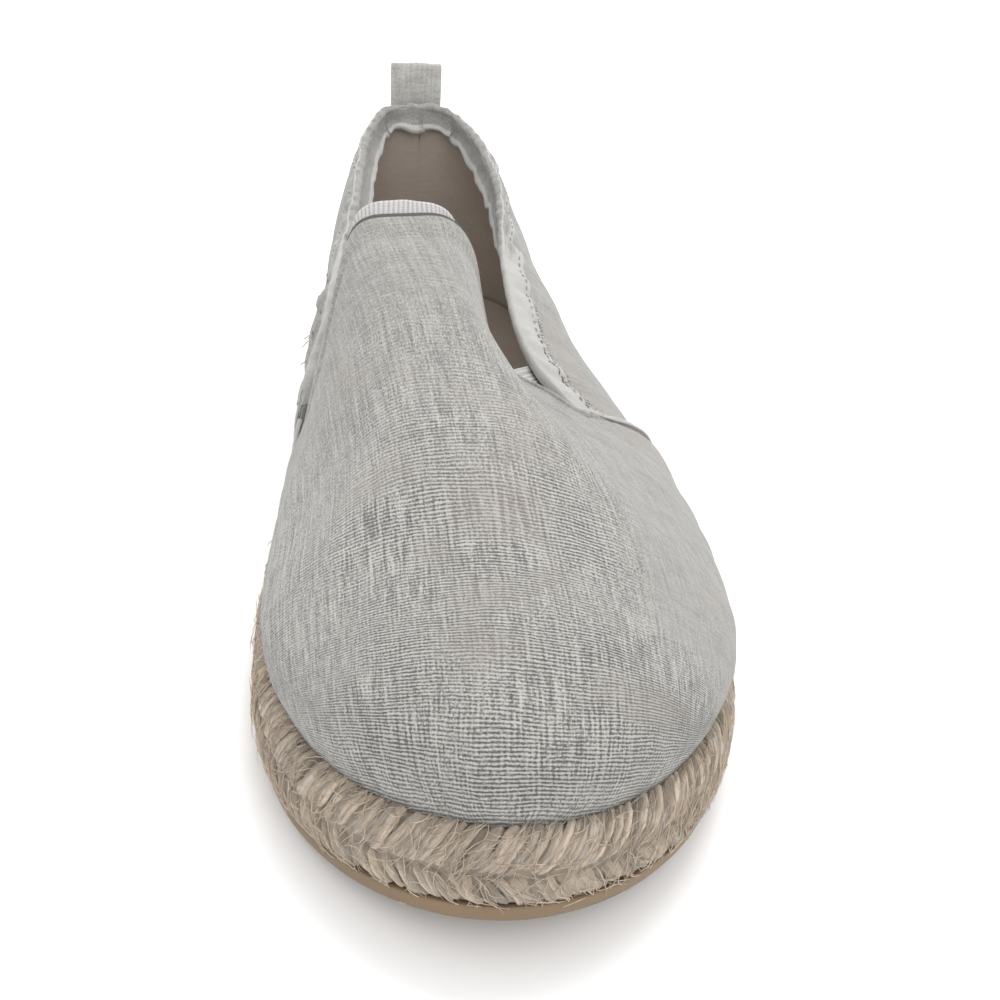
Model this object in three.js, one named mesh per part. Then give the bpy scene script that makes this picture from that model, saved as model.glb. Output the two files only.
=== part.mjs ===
// A slip-on espadrille for the left foot: a woven upper with elastic side gussets on a braided jute
// sole with a rubber outsole. Millimetres, +Z up, toe towards -Y, outer side of the foot towards +X.
// Inside the functions y runs from the tip of the toe (0) to the back of the heel (LENGTH), and z
// from the floor. The group at the end moves the whole shoe so that its origin is under its middle.
import * as THREE from "three";

const LENGTH = 285;
const RUBBER = 5; // thickness of the outsole
const SOLE_TOP = 21.2; // top of the jute above the floor
const GAP = 0.3; // between two pieces that meet
const FEATHER = 4.6; // how far the upper's edge sits in from the edge of the jute
const WALL = 1.6; // cloth and lining together
const INSOLE = 3;
const ELASTIC = 1.1;
const UNDERLAY = 0.9; // between the upper's inner face and the throat band behind its edge
const GORE_UNDERLAY = 1.6;
// The ribbed band in the throat: how far it stands above the vamp, and the last rib it reaches.
// It leans back and up, and at its ends out to the sides by "spread".
const BAND = { rise: 5, tuck: 0.05, least: 0.4, lean: [0.1, 0.45, 0.9], spread: 0.9 };
const BAND_END = { lateral: 66, medial: 43 }; // the ribs at the two ends of the throat band
const TOE_SPRING = 10;
const SPRING_START = 62; // distance from the tip at which the sole leaves the floor
const ARCH = { height: 1.5, start: 132, end: 222 };
const TOE_END = { length: 70, power: 1.93 }; // the rounding of the outline at the toe
const HEEL_END = { length: 38, power: 2.4 }; // and at the heel
const TOE_SWING = { inward: 5, length: 110 }; // the tip lies inward of the shoe's long axis
const TOE_BOX = { length: 34, power: 2.25 }; // the rounding of the toe seen from the side
// The ribs that each gusset runs between, from its lowest row to its top, in front and behind.
const GUSSETS = {
  lateral: { vamp: { low: 139, high: 98 }, quarter: { low: 149, high: 169 } },
  medial: { vamp: { low: 137, high: 104 }, quarter: { low: 147, high: 166 } },
};
// Where a gusset's sides are held: the rise of its edge, the drop of that edge at the notch, and how
// much of it lies under the cloth. "dip" takes the lower half farther in.
const HOLD = { rise: 0.97, drop: 0.25, until: 0.2, hidden: 0.1, dip: 1.6, dipUntil: 0.5 };
const BULGE = { vampHeight: 26, lowPoint: 0.42, highPoint: 0.2 }; // the shape of the ribs of the upper
const PULL_TAB = { width: 16, thickness: 0.9, top: 97.6, below: 12, loop: 1.6 };

const CLEAR_OF_HEEL = 4.2; // from the collar's edge back to the pull tab, past the bulge of the heel

const STATIONS = 44; // steps along the shoe, per side
const RISE_STEPS = 12; // steps from the sole up to the top edge

// Half widths of the sole to each side of the long axis.
const OUTLINE = [
  { y: 0, medial: 46.5, lateral: 47 },
  { y: 50, medial: 49.4, lateral: 51.5 },
  { y: 95, medial: 50.2, lateral: 54.4 },
  { y: 140, medial: 44.6, lateral: 52.6 },
  { y: 185, medial: 39, lateral: 46 },
  { y: 230, medial: 36, lateral: 39.5 },
  { y: 262, medial: 34.4, lateral: 37 },
  { y: LENGTH, medial: 33, lateral: 36 },
];

// Cross sections of the vamp: a dome over the whole width and, on it, the raised tongue.
const VAMP = [
  { y: 0, dome: 21, crownX: -5, fullness: 2.4, tongue: 0, tongueX: -5, tongueHalf: 28 },
  { y: 25, dome: 27, crownX: -3.5, fullness: 2.3, tongue: 0, tongueX: -5, tongueHalf: 28 },
  { y: 55, dome: 34, crownX: -3, fullness: 2.1, tongue: 0.5, tongueX: -5.5, tongueHalf: 28 },
  { y: 85, dome: 38.5, crownX: -4, fullness: 1.9, tongue: 4.5, tongueX: -8, tongueHalf: 27 },
  { y: 110, dome: 36.5, crownX: -6, fullness: 2.1, tongue: 14, tongueX: -13, tongueHalf: 24 },
  { y: 130, dome: 32.5, crownX: -9, fullness: 2.4, tongue: 26.5, tongueX: -16.5, tongueHalf: 22 },
  { y: 155, dome: 31, crownX: -16, fullness: 3.8, tongue: 37, tongueX: -17, tongueHalf: 22.5 },
];

// The top edge of the upper. Each row is the end of the rib that starts at "foot" on the sole.
// The edge runs down the side of the tongue to the bottom of the notch, and back along the collar.
const TOP_EDGE = {
  lateral: [
    { foot: 0, x: -14, y: 153 },
    { foot: 25, x: -7, y: 153 },
    { foot: 50, x: -1, y: 153 },
    { foot: 75, x: 3.3, y: 150.5 },
    { foot: 95, x: 7, y: 148 },
    { foot: 112, x: 12.3, y: 144.5 },
    { foot: 125, x: 19, y: 140.5 },
    { foot: 136, x: 27, y: 139.5 },
    { foot: 144, x: 34, y: 140.3, z: 40, reach: 0.9 },
    { foot: 151, x: 28.5, y: 145.5, z: 41.5, reach: 0.85 },
    { foot: 160, x: 22.5, y: 154, z: 45.7, reach: 0.8 },
    { foot: 172, x: 18.3, y: 164, z: 50.6, reach: 0.7 },
    { foot: 184, x: 16.8, y: 175, z: 55.2, reach: 0.62 },
    { foot: 197, x: 16, y: 187, z: 60, reach: 0.56 },
    { foot: 212, x: 16.5, y: 204, z: 66.3, reach: 0.45 },
    { foot: 232, x: 18.5, y: 232, z: 73.5, reach: 0.3 },
    { foot: 252, x: 15.8, y: 258.5, z: 79, reach: 0.28 },
    { foot: 270, x: 10, y: 275.5, z: 83, reach: 0.3 },
    { foot: 275, x: 7.5, y: 277.5, z: 83.8, reach: 0.32 },
    { foot: 280, x: 5.2, y: 278.7, z: 84.2, reach: 0.36 },
    { foot: 283.6, x: 2.3, y: 279.3, z: 84.4, reach: 0.4 },
    { foot: 284.6, x: 0.3, y: 279.45, z: 84.5, reach: 0.4 },
    { foot: LENGTH, x: -2.5, y: 279.5, z: 84.5, reach: 0.4 },
  ],
  medial: [
    { foot: 0, x: -14, y: 153 },
    { foot: 13, x: -20, y: 153 },
    { foot: 24, x: -24.6, y: 153.4 },
    { foot: 33, x: -27.8, y: 153.5 },
    { foot: 42, x: -29.6, y: 152.2 },
    { foot: 52, x: -30.8, y: 148.8 },
    { foot: 64, x: -32.3, y: 144.2 },
    { foot: 79, x: -34.2, y: 140.2 },
    { foot: 100, x: -35.8, y: 139.4 },
    { foot: 128, x: -37, y: 141 },
    { foot: 142, x: -39.5, y: 143.5, z: 45, reach: 0.3 },
    { foot: 152, x: -37.2, y: 150, z: 51, reach: 0.4 },
    { foot: 163, x: -34.7, y: 158, z: 58, reach: 0.7 },
    { foot: 180, x: -31.7, y: 174, z: 65, reach: 0.85 },
    { foot: 200, x: -27.8, y: 196, z: 69.5, reach: 0.55 },
    { foot: 222, x: -25, y: 218, z: 72.5, reach: 0.3 },
    { foot: 240, x: -23, y: 239, z: 75.5, reach: 0.25 },
    { foot: 256, x: -19.8, y: 260.5, z: 79.5, reach: 0.25 },
    { foot: 270, x: -14.8, y: 274.6, z: 83, reach: 0.3 },
    { foot: 275, x: -12.6, y: 277, z: 83.8, reach: 0.32 },
    { foot: 280, x: -10.3, y: 278.5, z: 84.2, reach: 0.36 },
    { foot: 283.6, x: -7.4, y: 279.3, z: 84.4, reach: 0.4 },
    { foot: 284.6, x: -5.4, y: 279.45, z: 84.5, reach: 0.4 },
    { foot: LENGTH, x: -2.5, y: 279.5, z: 84.5, reach: 0.4 },
  ],
};
// The hollow of the vamp beside the outer notch.
const HOLLOW = { x: 30, y: 143, depth: 3, wide: 9, long: 16 };
const NOTCH = { lateral: 144, medial: 142 }; // the foot of the rib that ends in the notch
const BLEND = 9; // half the stretch over which the vamp's ribs turn into the quarters' ribs
// How far the cloth bulges out past its own edge: at the tip, along the sides and at the quarters.
const BELLY = { tip: 2, side: 5.5, sideFrom: 10, sideAt: 55, quarter: 3.5 };

const clamp01 = (value) => Math.min(1, Math.max(0, value));
const smooth = (value) => value * value * (3 - 2 * value);

// One column of a table at the place "at" of its first column, by a cubic through the rows.
function column(rows, name, at) {
  const key = Object.keys(rows[0])[0];
  const last = rows.length - 1;
  const place = Math.min(rows[last][key], Math.max(rows[0][key], at));
  let i = 0;
  while (i < last - 1 && rows[i + 1][key] <= place) i += 1;
  const slope = (j) => {
    const before = rows[Math.max(0, j - 1)];
    const after = rows[Math.min(last, j + 1)];
    return (after[name] - before[name]) / (after[key] - before[key]);
  };
  const step = rows[i + 1][key] - rows[i][key];
  const t = (place - rows[i][key]) / step;
  return (
    rows[i][name] * (1 + 2 * t) * (1 - t) ** 2 +
    slope(i) * step * t * (1 - t) ** 2 +
    rows[i + 1][name] * t * t * (3 - 2 * t) +
    slope(i + 1) * step * t * t * (t - 1)
  );
}

const roundOff = (t, power) => (1 - clamp01(t) ** power) ** (1 / power);

// The long axis, which swings inward at the toe.
function axisX(y) {
  return -TOE_SWING.inward * clamp01(1 - y / TOE_SWING.length) ** 2;
}

// Half width of the outline on one side, moved in by "inset".
function halfWidth(side, y, inset) {
  const toe = (TOE_END.length - y) / (TOE_END.length - inset);
  const heel = (y - (LENGTH - HEEL_END.length)) / (HEEL_END.length - inset);
  const ends = roundOff(toe, TOE_END.power) * roundOff(heel, HEEL_END.power);
  return (column(OUTLINE, side, y) - inset) * ends;
}

// The underside of the sole: toe spring in front, flat under the ball and heel, a low arch between.
function soleZ(y) {
  const spring = TOE_SPRING * clamp01((SPRING_START - y) / SPRING_START) ** 2;
  const along = clamp01((y - ARCH.start) / (ARCH.end - ARCH.start));
  return spring + ARCH.height * Math.sin(Math.PI * along) ** 2;
}

// Places along the shoe, closer together at both ends.
function stationsOf(inset) {
  const list = [];
  for (let i = 0; i <= STATIONS; i += 1) {
    const t = (1 - Math.cos((Math.PI * i) / STATIONS)) / 2;
    list.push(inset + t * (LENGTH - 2 * inset));
  }
  return list;
}

const sign = (side) => (side === "lateral" ? 1 : -1);

// A point of the outline, moved in by "inset" and up by "height" from the underside of the sole.
function outlinePoint(side, y, inset, height) {
  const x = axisX(y) + sign(side) * halfWidth(side, y, inset);
  return new THREE.Vector3(x, y, soleZ(y) + height);
}

// The whole outline as one loop: tip, lateral side, heel, medial side.
function outlineLoop(inset, height) {
  const ys = stationsOf(inset);
  const lateral = ys.map((y) => outlinePoint("lateral", y, inset, height));
  const medial = ys.slice(1, -1).map((y) => outlinePoint("medial", y, inset, height));
  return lateral.concat(medial.reverse());
}

// A mesh from rows of points and a list of triangles of row indices.
function geometryOf(points, triangles) {
  const geometry = new THREE.BufferGeometry();
  geometry.setAttribute(
    "position",
    new THREE.Float32BufferAttribute(points.flatMap((p) => [p.x, p.y, p.z]), 3),
  );
  geometry.setIndex(triangles.flat());
  geometry.computeVertexNormals();
  return geometry;
}

// Triangles between two rows of "count" points that start at indices a and b.
function strip(a, b, count, closed) {
  const triangles = [];
  const steps = closed ? count : count - 1;
  for (let i = 0; i < steps; i += 1) {
    const j = (i + 1) % count;
    triangles.push([a + i, a + j, b + j], [a + i, b + j, b + i]);
  }
  return triangles;
}

// A slab with curved edges: loops from the bottom up, closed by flat strips across the width.
function slab(rings) {
  const loops = rings.map((ring) => outlineLoop(ring.inset, ring.height));
  const count = loops[0].length;
  const triangles = [];
  for (let k = 0; k < loops.length - 1; k += 1) {
    triangles.push(...strip(k * count, (k + 1) * count, count, true));
  }
  const cap = (start, up) => {
    for (let i = 0; i < STATIONS; i += 1) {
      const right = [start + i, start + i + 1];
      const left = [start + ((count - i) % count), start + count - i - 1];
      const faces = [
        [right[0], right[1], left[1]],
        [right[0], left[1], left[0]],
      ];
      for (const face of faces) {
        if (new Set(face).size === 3) triangles.push(up ? face : face.reverse());
      }
    }
  };
  cap(0, false);
  cap((loops.length - 1) * count, true);
  return geometryOf(loops.flat(), triangles);
}

// Height of the vamp's outer face over a point of the plan.
function vampZ(x, y) {
  const crown = column(VAMP, "crownX", y);
  const side = x > crown ? "lateral" : "medial";
  const edge = axisX(y) + sign(side) * halfWidth(side, y, FEATHER);
  const across = clamp01((x - crown) / (edge - crown || 1e-6));
  const dome = column(VAMP, "dome", y) * (1 - across ** 2) ** (1 / column(VAMP, "fullness", y));
  const off = Math.abs(x - column(VAMP, "tongueX", y)) / column(VAMP, "tongueHalf", y);
  const tongue = column(VAMP, "tongue", y) * Math.exp(-(off ** 5)) * Math.sqrt(1 - across ** 7);
  const rise = roundOff(1 - (y - FEATHER) / TOE_BOX.length, TOE_BOX.power);
  const aside = ((x - HOLLOW.x) / HOLLOW.wide) ** 2 + ((y - HOLLOW.y) / HOLLOW.long) ** 2;
  return soleZ(y) + SOLE_TOP + GAP + (dome + tongue - HOLLOW.depth * Math.exp(-aside)) * rise;
}

// The end of a rib on the top edge.
function topEdge(side, foot) {
  const rows = TOP_EDGE[side];
  const x = column(rows, "x", foot);
  const y = column(rows, "y", foot);
  const collar = rows.filter((row) => row.z !== undefined);
  const blend = smooth(clamp01((foot - NOTCH[side] + BLEND) / BLEND));
  const z = column(collar, "z", foot);
  return new THREE.Vector3(x, y, vampZ(x, y) * (1 - blend) + z * blend);
}

// The horizontal direction that points out of the shoe at a place on the outline.
function outward(side, y) {
  const step = 0.4;
  const before = outlinePoint(side, Math.max(FEATHER, y - step), FEATHER, 0);
  const after = outlinePoint(side, Math.min(LENGTH - FEATHER, y + step), FEATHER, 0);
  const along = after.sub(before);
  return new THREE.Vector3(along.y, -along.x, 0).normalize().multiplyScalar(sign(side));
}

// A point of the upper's outer face: "foot" is the place on the sole where the rib starts, and
// "rise" goes from 0 at the sole to 1 at the top edge.
function upperPoint(side, foot, rise) {
  const start = outlinePoint(side, foot, FEATHER, SOLE_TOP + GAP);
  const end = topEdge(side, foot);
  const out = outward(side, foot);
  const quarterShare = smooth(clamp01((foot - NOTCH[side] + BLEND) / (2 * BLEND)));
  const point = new THREE.Vector3();
  if (quarterShare < 1) {
    const along = rise ** 2;
    const x = start.x + (end.x - start.x) * along;
    const y = start.y + (end.y - start.y) * along;
    const vamp = new THREE.Vector3(x, y, rise > 0 ? vampZ(x, y) : start.z);
    const height = clamp01((vamp.z - start.z) / BULGE.vampHeight);
    const share = smooth(clamp01((foot - BELLY.sideFrom) / (BELLY.sideAt - BELLY.sideFrom)));
    const bulge = BELLY.tip + (BELLY.side - BELLY.tip) * share;
    vamp.addScaledVector(out, bulge * Math.sin(Math.PI * height) * (1 - rise));
    point.addScaledVector(vamp, 1 - quarterShare);
  }
  if (quarterShare > 0) {
    const tall = end.z - start.z;
    const collar = TOP_EDGE[side].filter((row) => row.reach !== undefined);
    const reach = column(collar, "reach", foot) * Math.hypot(end.x - start.x, end.y - start.y);
    const low = start.clone().addScaledVector(out, BELLY.quarter);
    low.z += BULGE.lowPoint * tall;
    const high = end.clone().addScaledVector(out, reach);
    high.z -= BULGE.highPoint * tall;
    const rib = new THREE.CubicBezierCurve3(start, low, high, end);
    point.addScaledVector(rib.getPoint(rise), quarterShare);
  }
  return point;
}

// The outer face moved in along its own normal.
function upperInside(side, foot, rise, depth) {
  const step = 0.02;
  const heelward = Math.min(LENGTH - FEATHER - 0.05, foot + 0.5);
  const toeward = Math.max(FEATHER + 0.05, foot - 0.5);
  const along = upperPoint(side, heelward, rise).sub(upperPoint(side, toeward, rise));
  const above = upperPoint(side, foot, Math.min(1, rise + step));
  const below = upperPoint(side, foot, Math.max(0, rise - step));
  const normal = along.cross(above.sub(below)).normalize().multiplyScalar(sign(side));
  return upperPoint(side, foot, rise).addScaledVector(normal, -depth);
}

// Feet of the ribs around the shoe in the order of outlineLoop.
function ribs() {
  const ys = stationsOf(FEATHER);
  const lateral = ys.map((foot) => ({ side: "lateral", foot }));
  const medial = ys.slice(1, -1).map((foot) => ({ side: "medial", foot }));
  return lateral.concat(medial.reverse());
}

function upperGeometry() {
  const around = ribs();
  const count = around.length;
  const points = [];
  const triangles = [];
  for (let k = 0; k <= RISE_STEPS; k += 1) {
    for (const rib of around) points.push(upperPoint(rib.side, rib.foot, k / RISE_STEPS));
  }
  points.push(...outlineLoop(FEATHER + WALL, SOLE_TOP + GAP));
  for (let k = 1; k <= RISE_STEPS; k += 1) {
    for (const rib of around) {
      points.push(upperInside(rib.side, rib.foot, k / RISE_STEPS, WALL));
    }
  }
  const inner = (RISE_STEPS + 1) * count;
  for (let k = 0; k < RISE_STEPS; k += 1) {
    triangles.push(...strip(k * count, (k + 1) * count, count, true));
    triangles.push(...strip(inner + (k + 1) * count, inner + k * count, count, true));
  }
  triangles.push(...strip(inner, 0, count, true));
  triangles.push(...strip(RISE_STEPS * count, inner + RISE_STEPS * count, count, true));
  return geometryOf(points, triangles);
}

// A thin closed sheet from a grid of outer points and the matching inner points.
function sheet(outer, inner) {
  const rows = outer.length;
  const count = outer[0].length;
  const points = outer.flat().concat(inner.flat());
  const back = rows * count;
  const triangles = [];
  for (let k = 0; k < rows - 1; k += 1) {
    triangles.push(...strip(k * count, (k + 1) * count, count, false));
    triangles.push(...strip(back + (k + 1) * count, back + k * count, count, false));
    const left = [k * count, (k + 1) * count];
    const right = [k * count + count - 1, (k + 1) * count + count - 1];
    triangles.push([left[0], left[1], back + left[1]], [left[0], back + left[1], back + left[0]]);
    triangles.push([right[1], right[0], back + right[0]]);
    triangles.push([right[1], back + right[0], back + right[1]]);
  }
  const top = (rows - 1) * count;
  triangles.push(...strip(back, 0, count, false));
  triangles.push(...strip(top, back + top, count, false));
  return geometryOf(points, triangles);
}

// The elastic gusset behind one notch. Its lowest row lies whole under the bottom of the notch, and
// from there up its sides are held under the vamp's edge and under the quarter's edge.
function gore(side) {
  const steps = 12;
  const { vamp, quarter } = GUSSETS[side];
  const layers = [WALL + GORE_UNDERLAY, WALL + GORE_UNDERLAY + ELASTIC];
  const [outer, inner] = layers.map((depth) => {
    const grid = [];
    for (let k = 0; k <= steps; k += 1) {
      const t = k / steps;
      const vampFoot = vamp.low + (vamp.high - vamp.low) * t;
      const quarterFoot = quarter.low + (quarter.high - quarter.low) * t;
      const edgeRise = HOLD.rise - HOLD.drop * clamp01(1 - t / HOLD.until);
      const hiddenRise = edgeRise - HOLD.hidden;
      const deep = depth + HOLD.dip * clamp01(1 - t / HOLD.dipUntil);
      const vampEdge = upperInside(side, vampFoot, edgeRise, deep);
      const quarterEdge = upperInside(side, quarterFoot, edgeRise, deep);
      const row = [upperInside(side, vampFoot, hiddenRise, deep), vampEdge];
      for (const share of [1 / 3, 2 / 3]) row.push(vampEdge.clone().lerp(quarterEdge, share));
      row.push(quarterEdge, upperInside(side, quarterFoot, hiddenRise, deep));
      grid.push(side === "lateral" ? row : row.reverse());
    }
    return grid;
  });
  return sheet(outer, inner);
}

// The ribbed elastic band behind the throat edge, highest in the middle.
function throatBand() {
  const steps = 22;
  const layers = [WALL + UNDERLAY, WALL + UNDERLAY + ELASTIC];
  const [outer, inner] = layers.map((depth) => {
    const grid = [[], [], [], []];
    for (let k = 0; k <= steps; k += 1) {
      const t = (2 * k) / steps - 1;
      const side = t > 0 ? "lateral" : "medial";
      const foot = FEATHER + 0.5 + (BAND_END[side] - FEATHER) * Math.abs(t);
      const low = upperInside(side, foot, 1 - BAND.tuck, depth);
      const edge = upperInside(side, foot, 1, depth);
      const lean = new THREE.Vector3(...BAND.lean);
      lean.x += BAND.spread * t ** 3;
      const up = edge.clone().sub(low).normalize().add(lean).normalize();
      const rise = BAND.rise * Math.sqrt(1 - t ** 4) + BAND.least;
      grid[0].push(low);
      grid[1].push(edge);
      grid[2].push(edge.clone().addScaledVector(up, rise / 2));
      grid[3].push(edge.clone().addScaledVector(up, rise));
    }
    return grid;
  });
  return sheet(outer, inner);
}

// The folded pull loop, flat against the outside of the heel and a little open above the collar.
function pullTab() {
  const { width, thickness, top, below, loop } = PULL_TAB;
  const [outerCrown, innerCrown] = [top + loop, top - 0.6];
  const collar = topEdge("lateral", LENGTH);
  const foot = collar.z - below;
  const face = collar.y + CLEAR_OF_HEEL;
  const section = new THREE.Shape();
  const outerBack = face + 2 * thickness + GAP;
  section.moveTo(face, foot);
  section.lineTo(face, collar.z);
  section.quadraticCurveTo(face, top - 3, face + 0.6 - loop, top - 2);
  section.quadraticCurveTo(face + 1, outerCrown, outerBack + loop, top - 2);
  section.quadraticCurveTo(outerBack, top - 3, outerBack, collar.z);
  section.lineTo(outerBack, foot);
  section.lineTo(outerBack - thickness, foot);
  section.lineTo(outerBack - thickness, collar.z);
  section.quadraticCurveTo(outerBack - thickness, top - 4, outerBack, top - 3);
  section.quadraticCurveTo(face + 1, innerCrown, face + 0.4, top - 3);
  section.quadraticCurveTo(face + thickness, top - 4, face + thickness, collar.z);
  section.lineTo(face + thickness, foot);
  section.closePath();
  const geometry = new THREE.ExtrudeGeometry(section, {
    depth: width,
    steps: 4,
    bevelEnabled: false,
    curveSegments: 5,
  });
  geometry.rotateY(Math.PI / 2);
  geometry.rotateX(Math.PI / 2);
  geometry.translate(collar.x - width / 2, 0, 0);
  return geometry;
}

const canvas = new THREE.MeshStandardMaterial({ color: "#b8b6b2", roughness: 0.9, metalness: 0 });
const jute = new THREE.MeshStandardMaterial({ color: "#a59681", roughness: 0.95, metalness: 0 });
const rubber = new THREE.MeshStandardMaterial({ color: "#8f7c60", roughness: 0.55, metalness: 0 });
const elastic = new THREE.MeshStandardMaterial({ color: "#e1dede", roughness: 0.8, metalness: 0 });
const lining = new THREE.MeshStandardMaterial({ color: "#a79d92", roughness: 0.9, metalness: 0 });

function piece(name, geometry, material) {
  const mesh = new THREE.Mesh(geometry, material);
  mesh.name = name;
  return mesh;
}

const outsole = slab([
  { inset: 4.4, height: 0 },
  { inset: 2.2, height: 1 },
  { inset: 1.3, height: 2.6 },
  { inset: 1.1, height: RUBBER },
]);
const juteSole = slab([
  { inset: 1.4, height: RUBBER + GAP },
  { inset: 0.3, height: 7.6 },
  { inset: 0, height: 11 },
  { inset: 0.3, height: 15 },
  { inset: 1.3, height: 18.4 },
  { inset: 3.4, height: SOLE_TOP },
]);
const insoleInset = FEATHER + WALL + 2 * GAP;
const insole = slab([
  { inset: insoleInset, height: SOLE_TOP + GAP },
  { inset: insoleInset, height: SOLE_TOP + GAP + INSOLE },
]);

const shoe = new THREE.Group();
shoe.add(piece("outsole", outsole, rubber));
shoe.add(piece("jute_sole", juteSole, jute));
shoe.add(piece("insole", insole, lining));
shoe.add(piece("upper", upperGeometry(), canvas));
shoe.add(piece("gore_lateral", gore("lateral"), elastic));
shoe.add(piece("gore_medial", gore("medial"), elastic));
shoe.add(piece("throat_band", throatBand(), elastic));
shoe.add(piece("pull_tab", pullTab(), canvas));

const box = new THREE.Box3().setFromObject(shoe);
shoe.position.set(-(box.min.x + box.max.x) / 2, -(box.min.y + box.max.y) / 2, -box.min.z);

export default shoe;
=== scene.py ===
import math

import bpy
import numpy as np
from bpy.props import FloatProperty, FloatVectorProperty, IntProperty, PointerProperty
from mathutils import Matrix, Vector


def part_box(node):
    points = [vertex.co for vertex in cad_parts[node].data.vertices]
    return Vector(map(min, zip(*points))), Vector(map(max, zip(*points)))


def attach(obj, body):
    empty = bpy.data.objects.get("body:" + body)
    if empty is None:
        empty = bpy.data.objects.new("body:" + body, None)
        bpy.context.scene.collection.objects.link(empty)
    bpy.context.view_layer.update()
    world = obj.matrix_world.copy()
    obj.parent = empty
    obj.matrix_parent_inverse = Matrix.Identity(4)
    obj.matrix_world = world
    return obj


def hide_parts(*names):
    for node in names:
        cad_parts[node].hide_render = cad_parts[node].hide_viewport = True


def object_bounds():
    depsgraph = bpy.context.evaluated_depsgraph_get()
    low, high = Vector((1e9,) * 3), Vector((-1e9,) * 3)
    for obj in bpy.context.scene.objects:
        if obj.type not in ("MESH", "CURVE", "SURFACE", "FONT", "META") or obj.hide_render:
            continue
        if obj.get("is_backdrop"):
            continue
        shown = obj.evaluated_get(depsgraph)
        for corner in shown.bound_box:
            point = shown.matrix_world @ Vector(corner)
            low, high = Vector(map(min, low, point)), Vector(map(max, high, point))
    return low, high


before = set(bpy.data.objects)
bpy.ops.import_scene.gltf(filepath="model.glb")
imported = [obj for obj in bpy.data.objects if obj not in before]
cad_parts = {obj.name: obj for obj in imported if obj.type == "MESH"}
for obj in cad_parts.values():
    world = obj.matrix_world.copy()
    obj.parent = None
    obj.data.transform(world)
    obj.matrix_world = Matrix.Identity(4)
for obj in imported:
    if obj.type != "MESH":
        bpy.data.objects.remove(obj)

CAD_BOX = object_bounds()

bl_info = {
    "name": "Espadrille",
    "version": (1, 0, 0),
    "blender": (4, 5, 0),
    "location": "3D View > Sidebar > Espadrille",
    "description": "Makes the pieces of a slip-on espadrille around its packed frame",
    "category": "Add Mesh",
}

# ---------------------------------------------------------------------------------------------
# The shoe's own sizes, in millimetres. y runs from the tip of the toe to the back of the heel,
# x from the long axis to the outer side of the foot, z up from the floor.
# ---------------------------------------------------------------------------------------------
MM = 0.001
LENGTH = 285.0
SOLE_TOP = 21.2
GAP = 0.3
FEATHER = 4.6
WALL = 1.6
UNDERLAY = 0.9
GORE_UNDERLAY = 1.6
ELASTIC = 1.1
BELLY = {"tip": 2.0, "side": 5.5, "side_from": 10.0, "side_at": 55.0, "tall": 26.0,
         "quarter": 3.5}
BLEND = 9.0
NOTCH = {"lateral": 144.0, "medial": 142.0}
HOLLOW = {"x": 30.0, "y": 143.0, "depth": 3.0, "wide": 9.0, "long": 16.0}
TOE = {"long": 70.0, "power": 1.93}  # where the outline rounds in to the tip, and how squarely
HEEL = {"long": 38.0, "power": 2.4}
SPRING = {"high": 10.0, "long": 62.0}  # the toe is turned up
ARCH = {"high": 1.5, "from": 132.0, "long": 90.0}
CAP = {"long": 34.0, "power": 2.25}  # the vamp rises from the sole at the tip
TAU = 2 * math.pi


def table(names, *rows):
    """Named columns from rows of numbers. The first column is the place."""
    return dict(zip(names.split(), np.array(rows, float).T))


OUTLINE = table(
    "y medial lateral",
    (0, 46.5, 47), (50, 49.4, 51.5), (95, 50.2, 54.4), (140, 44.6, 52.6),
    (185, 39, 46), (230, 36, 39.5), (262, 34.4, 37), (285, 33, 36),
)
VAMP = table(
    "y dome crown fullness tongue tongue_x tongue_half",
    (0, 21, -5, 2.4, 0, -5, 28),
    (25, 27, -3.5, 2.3, 0, -5, 28),
    (55, 34, -3, 2.1, 0.5, -5.5, 28),
    (85, 38.5, -4, 1.9, 4.5, -8, 27),
    (110, 36.5, -6, 2.1, 14, -13, 24),
    (130, 32.5, -9, 2.4, 26.5, -16.5, 22),
    (155, 31, -16, 3.8, 37, -17, 22.5),
)
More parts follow.
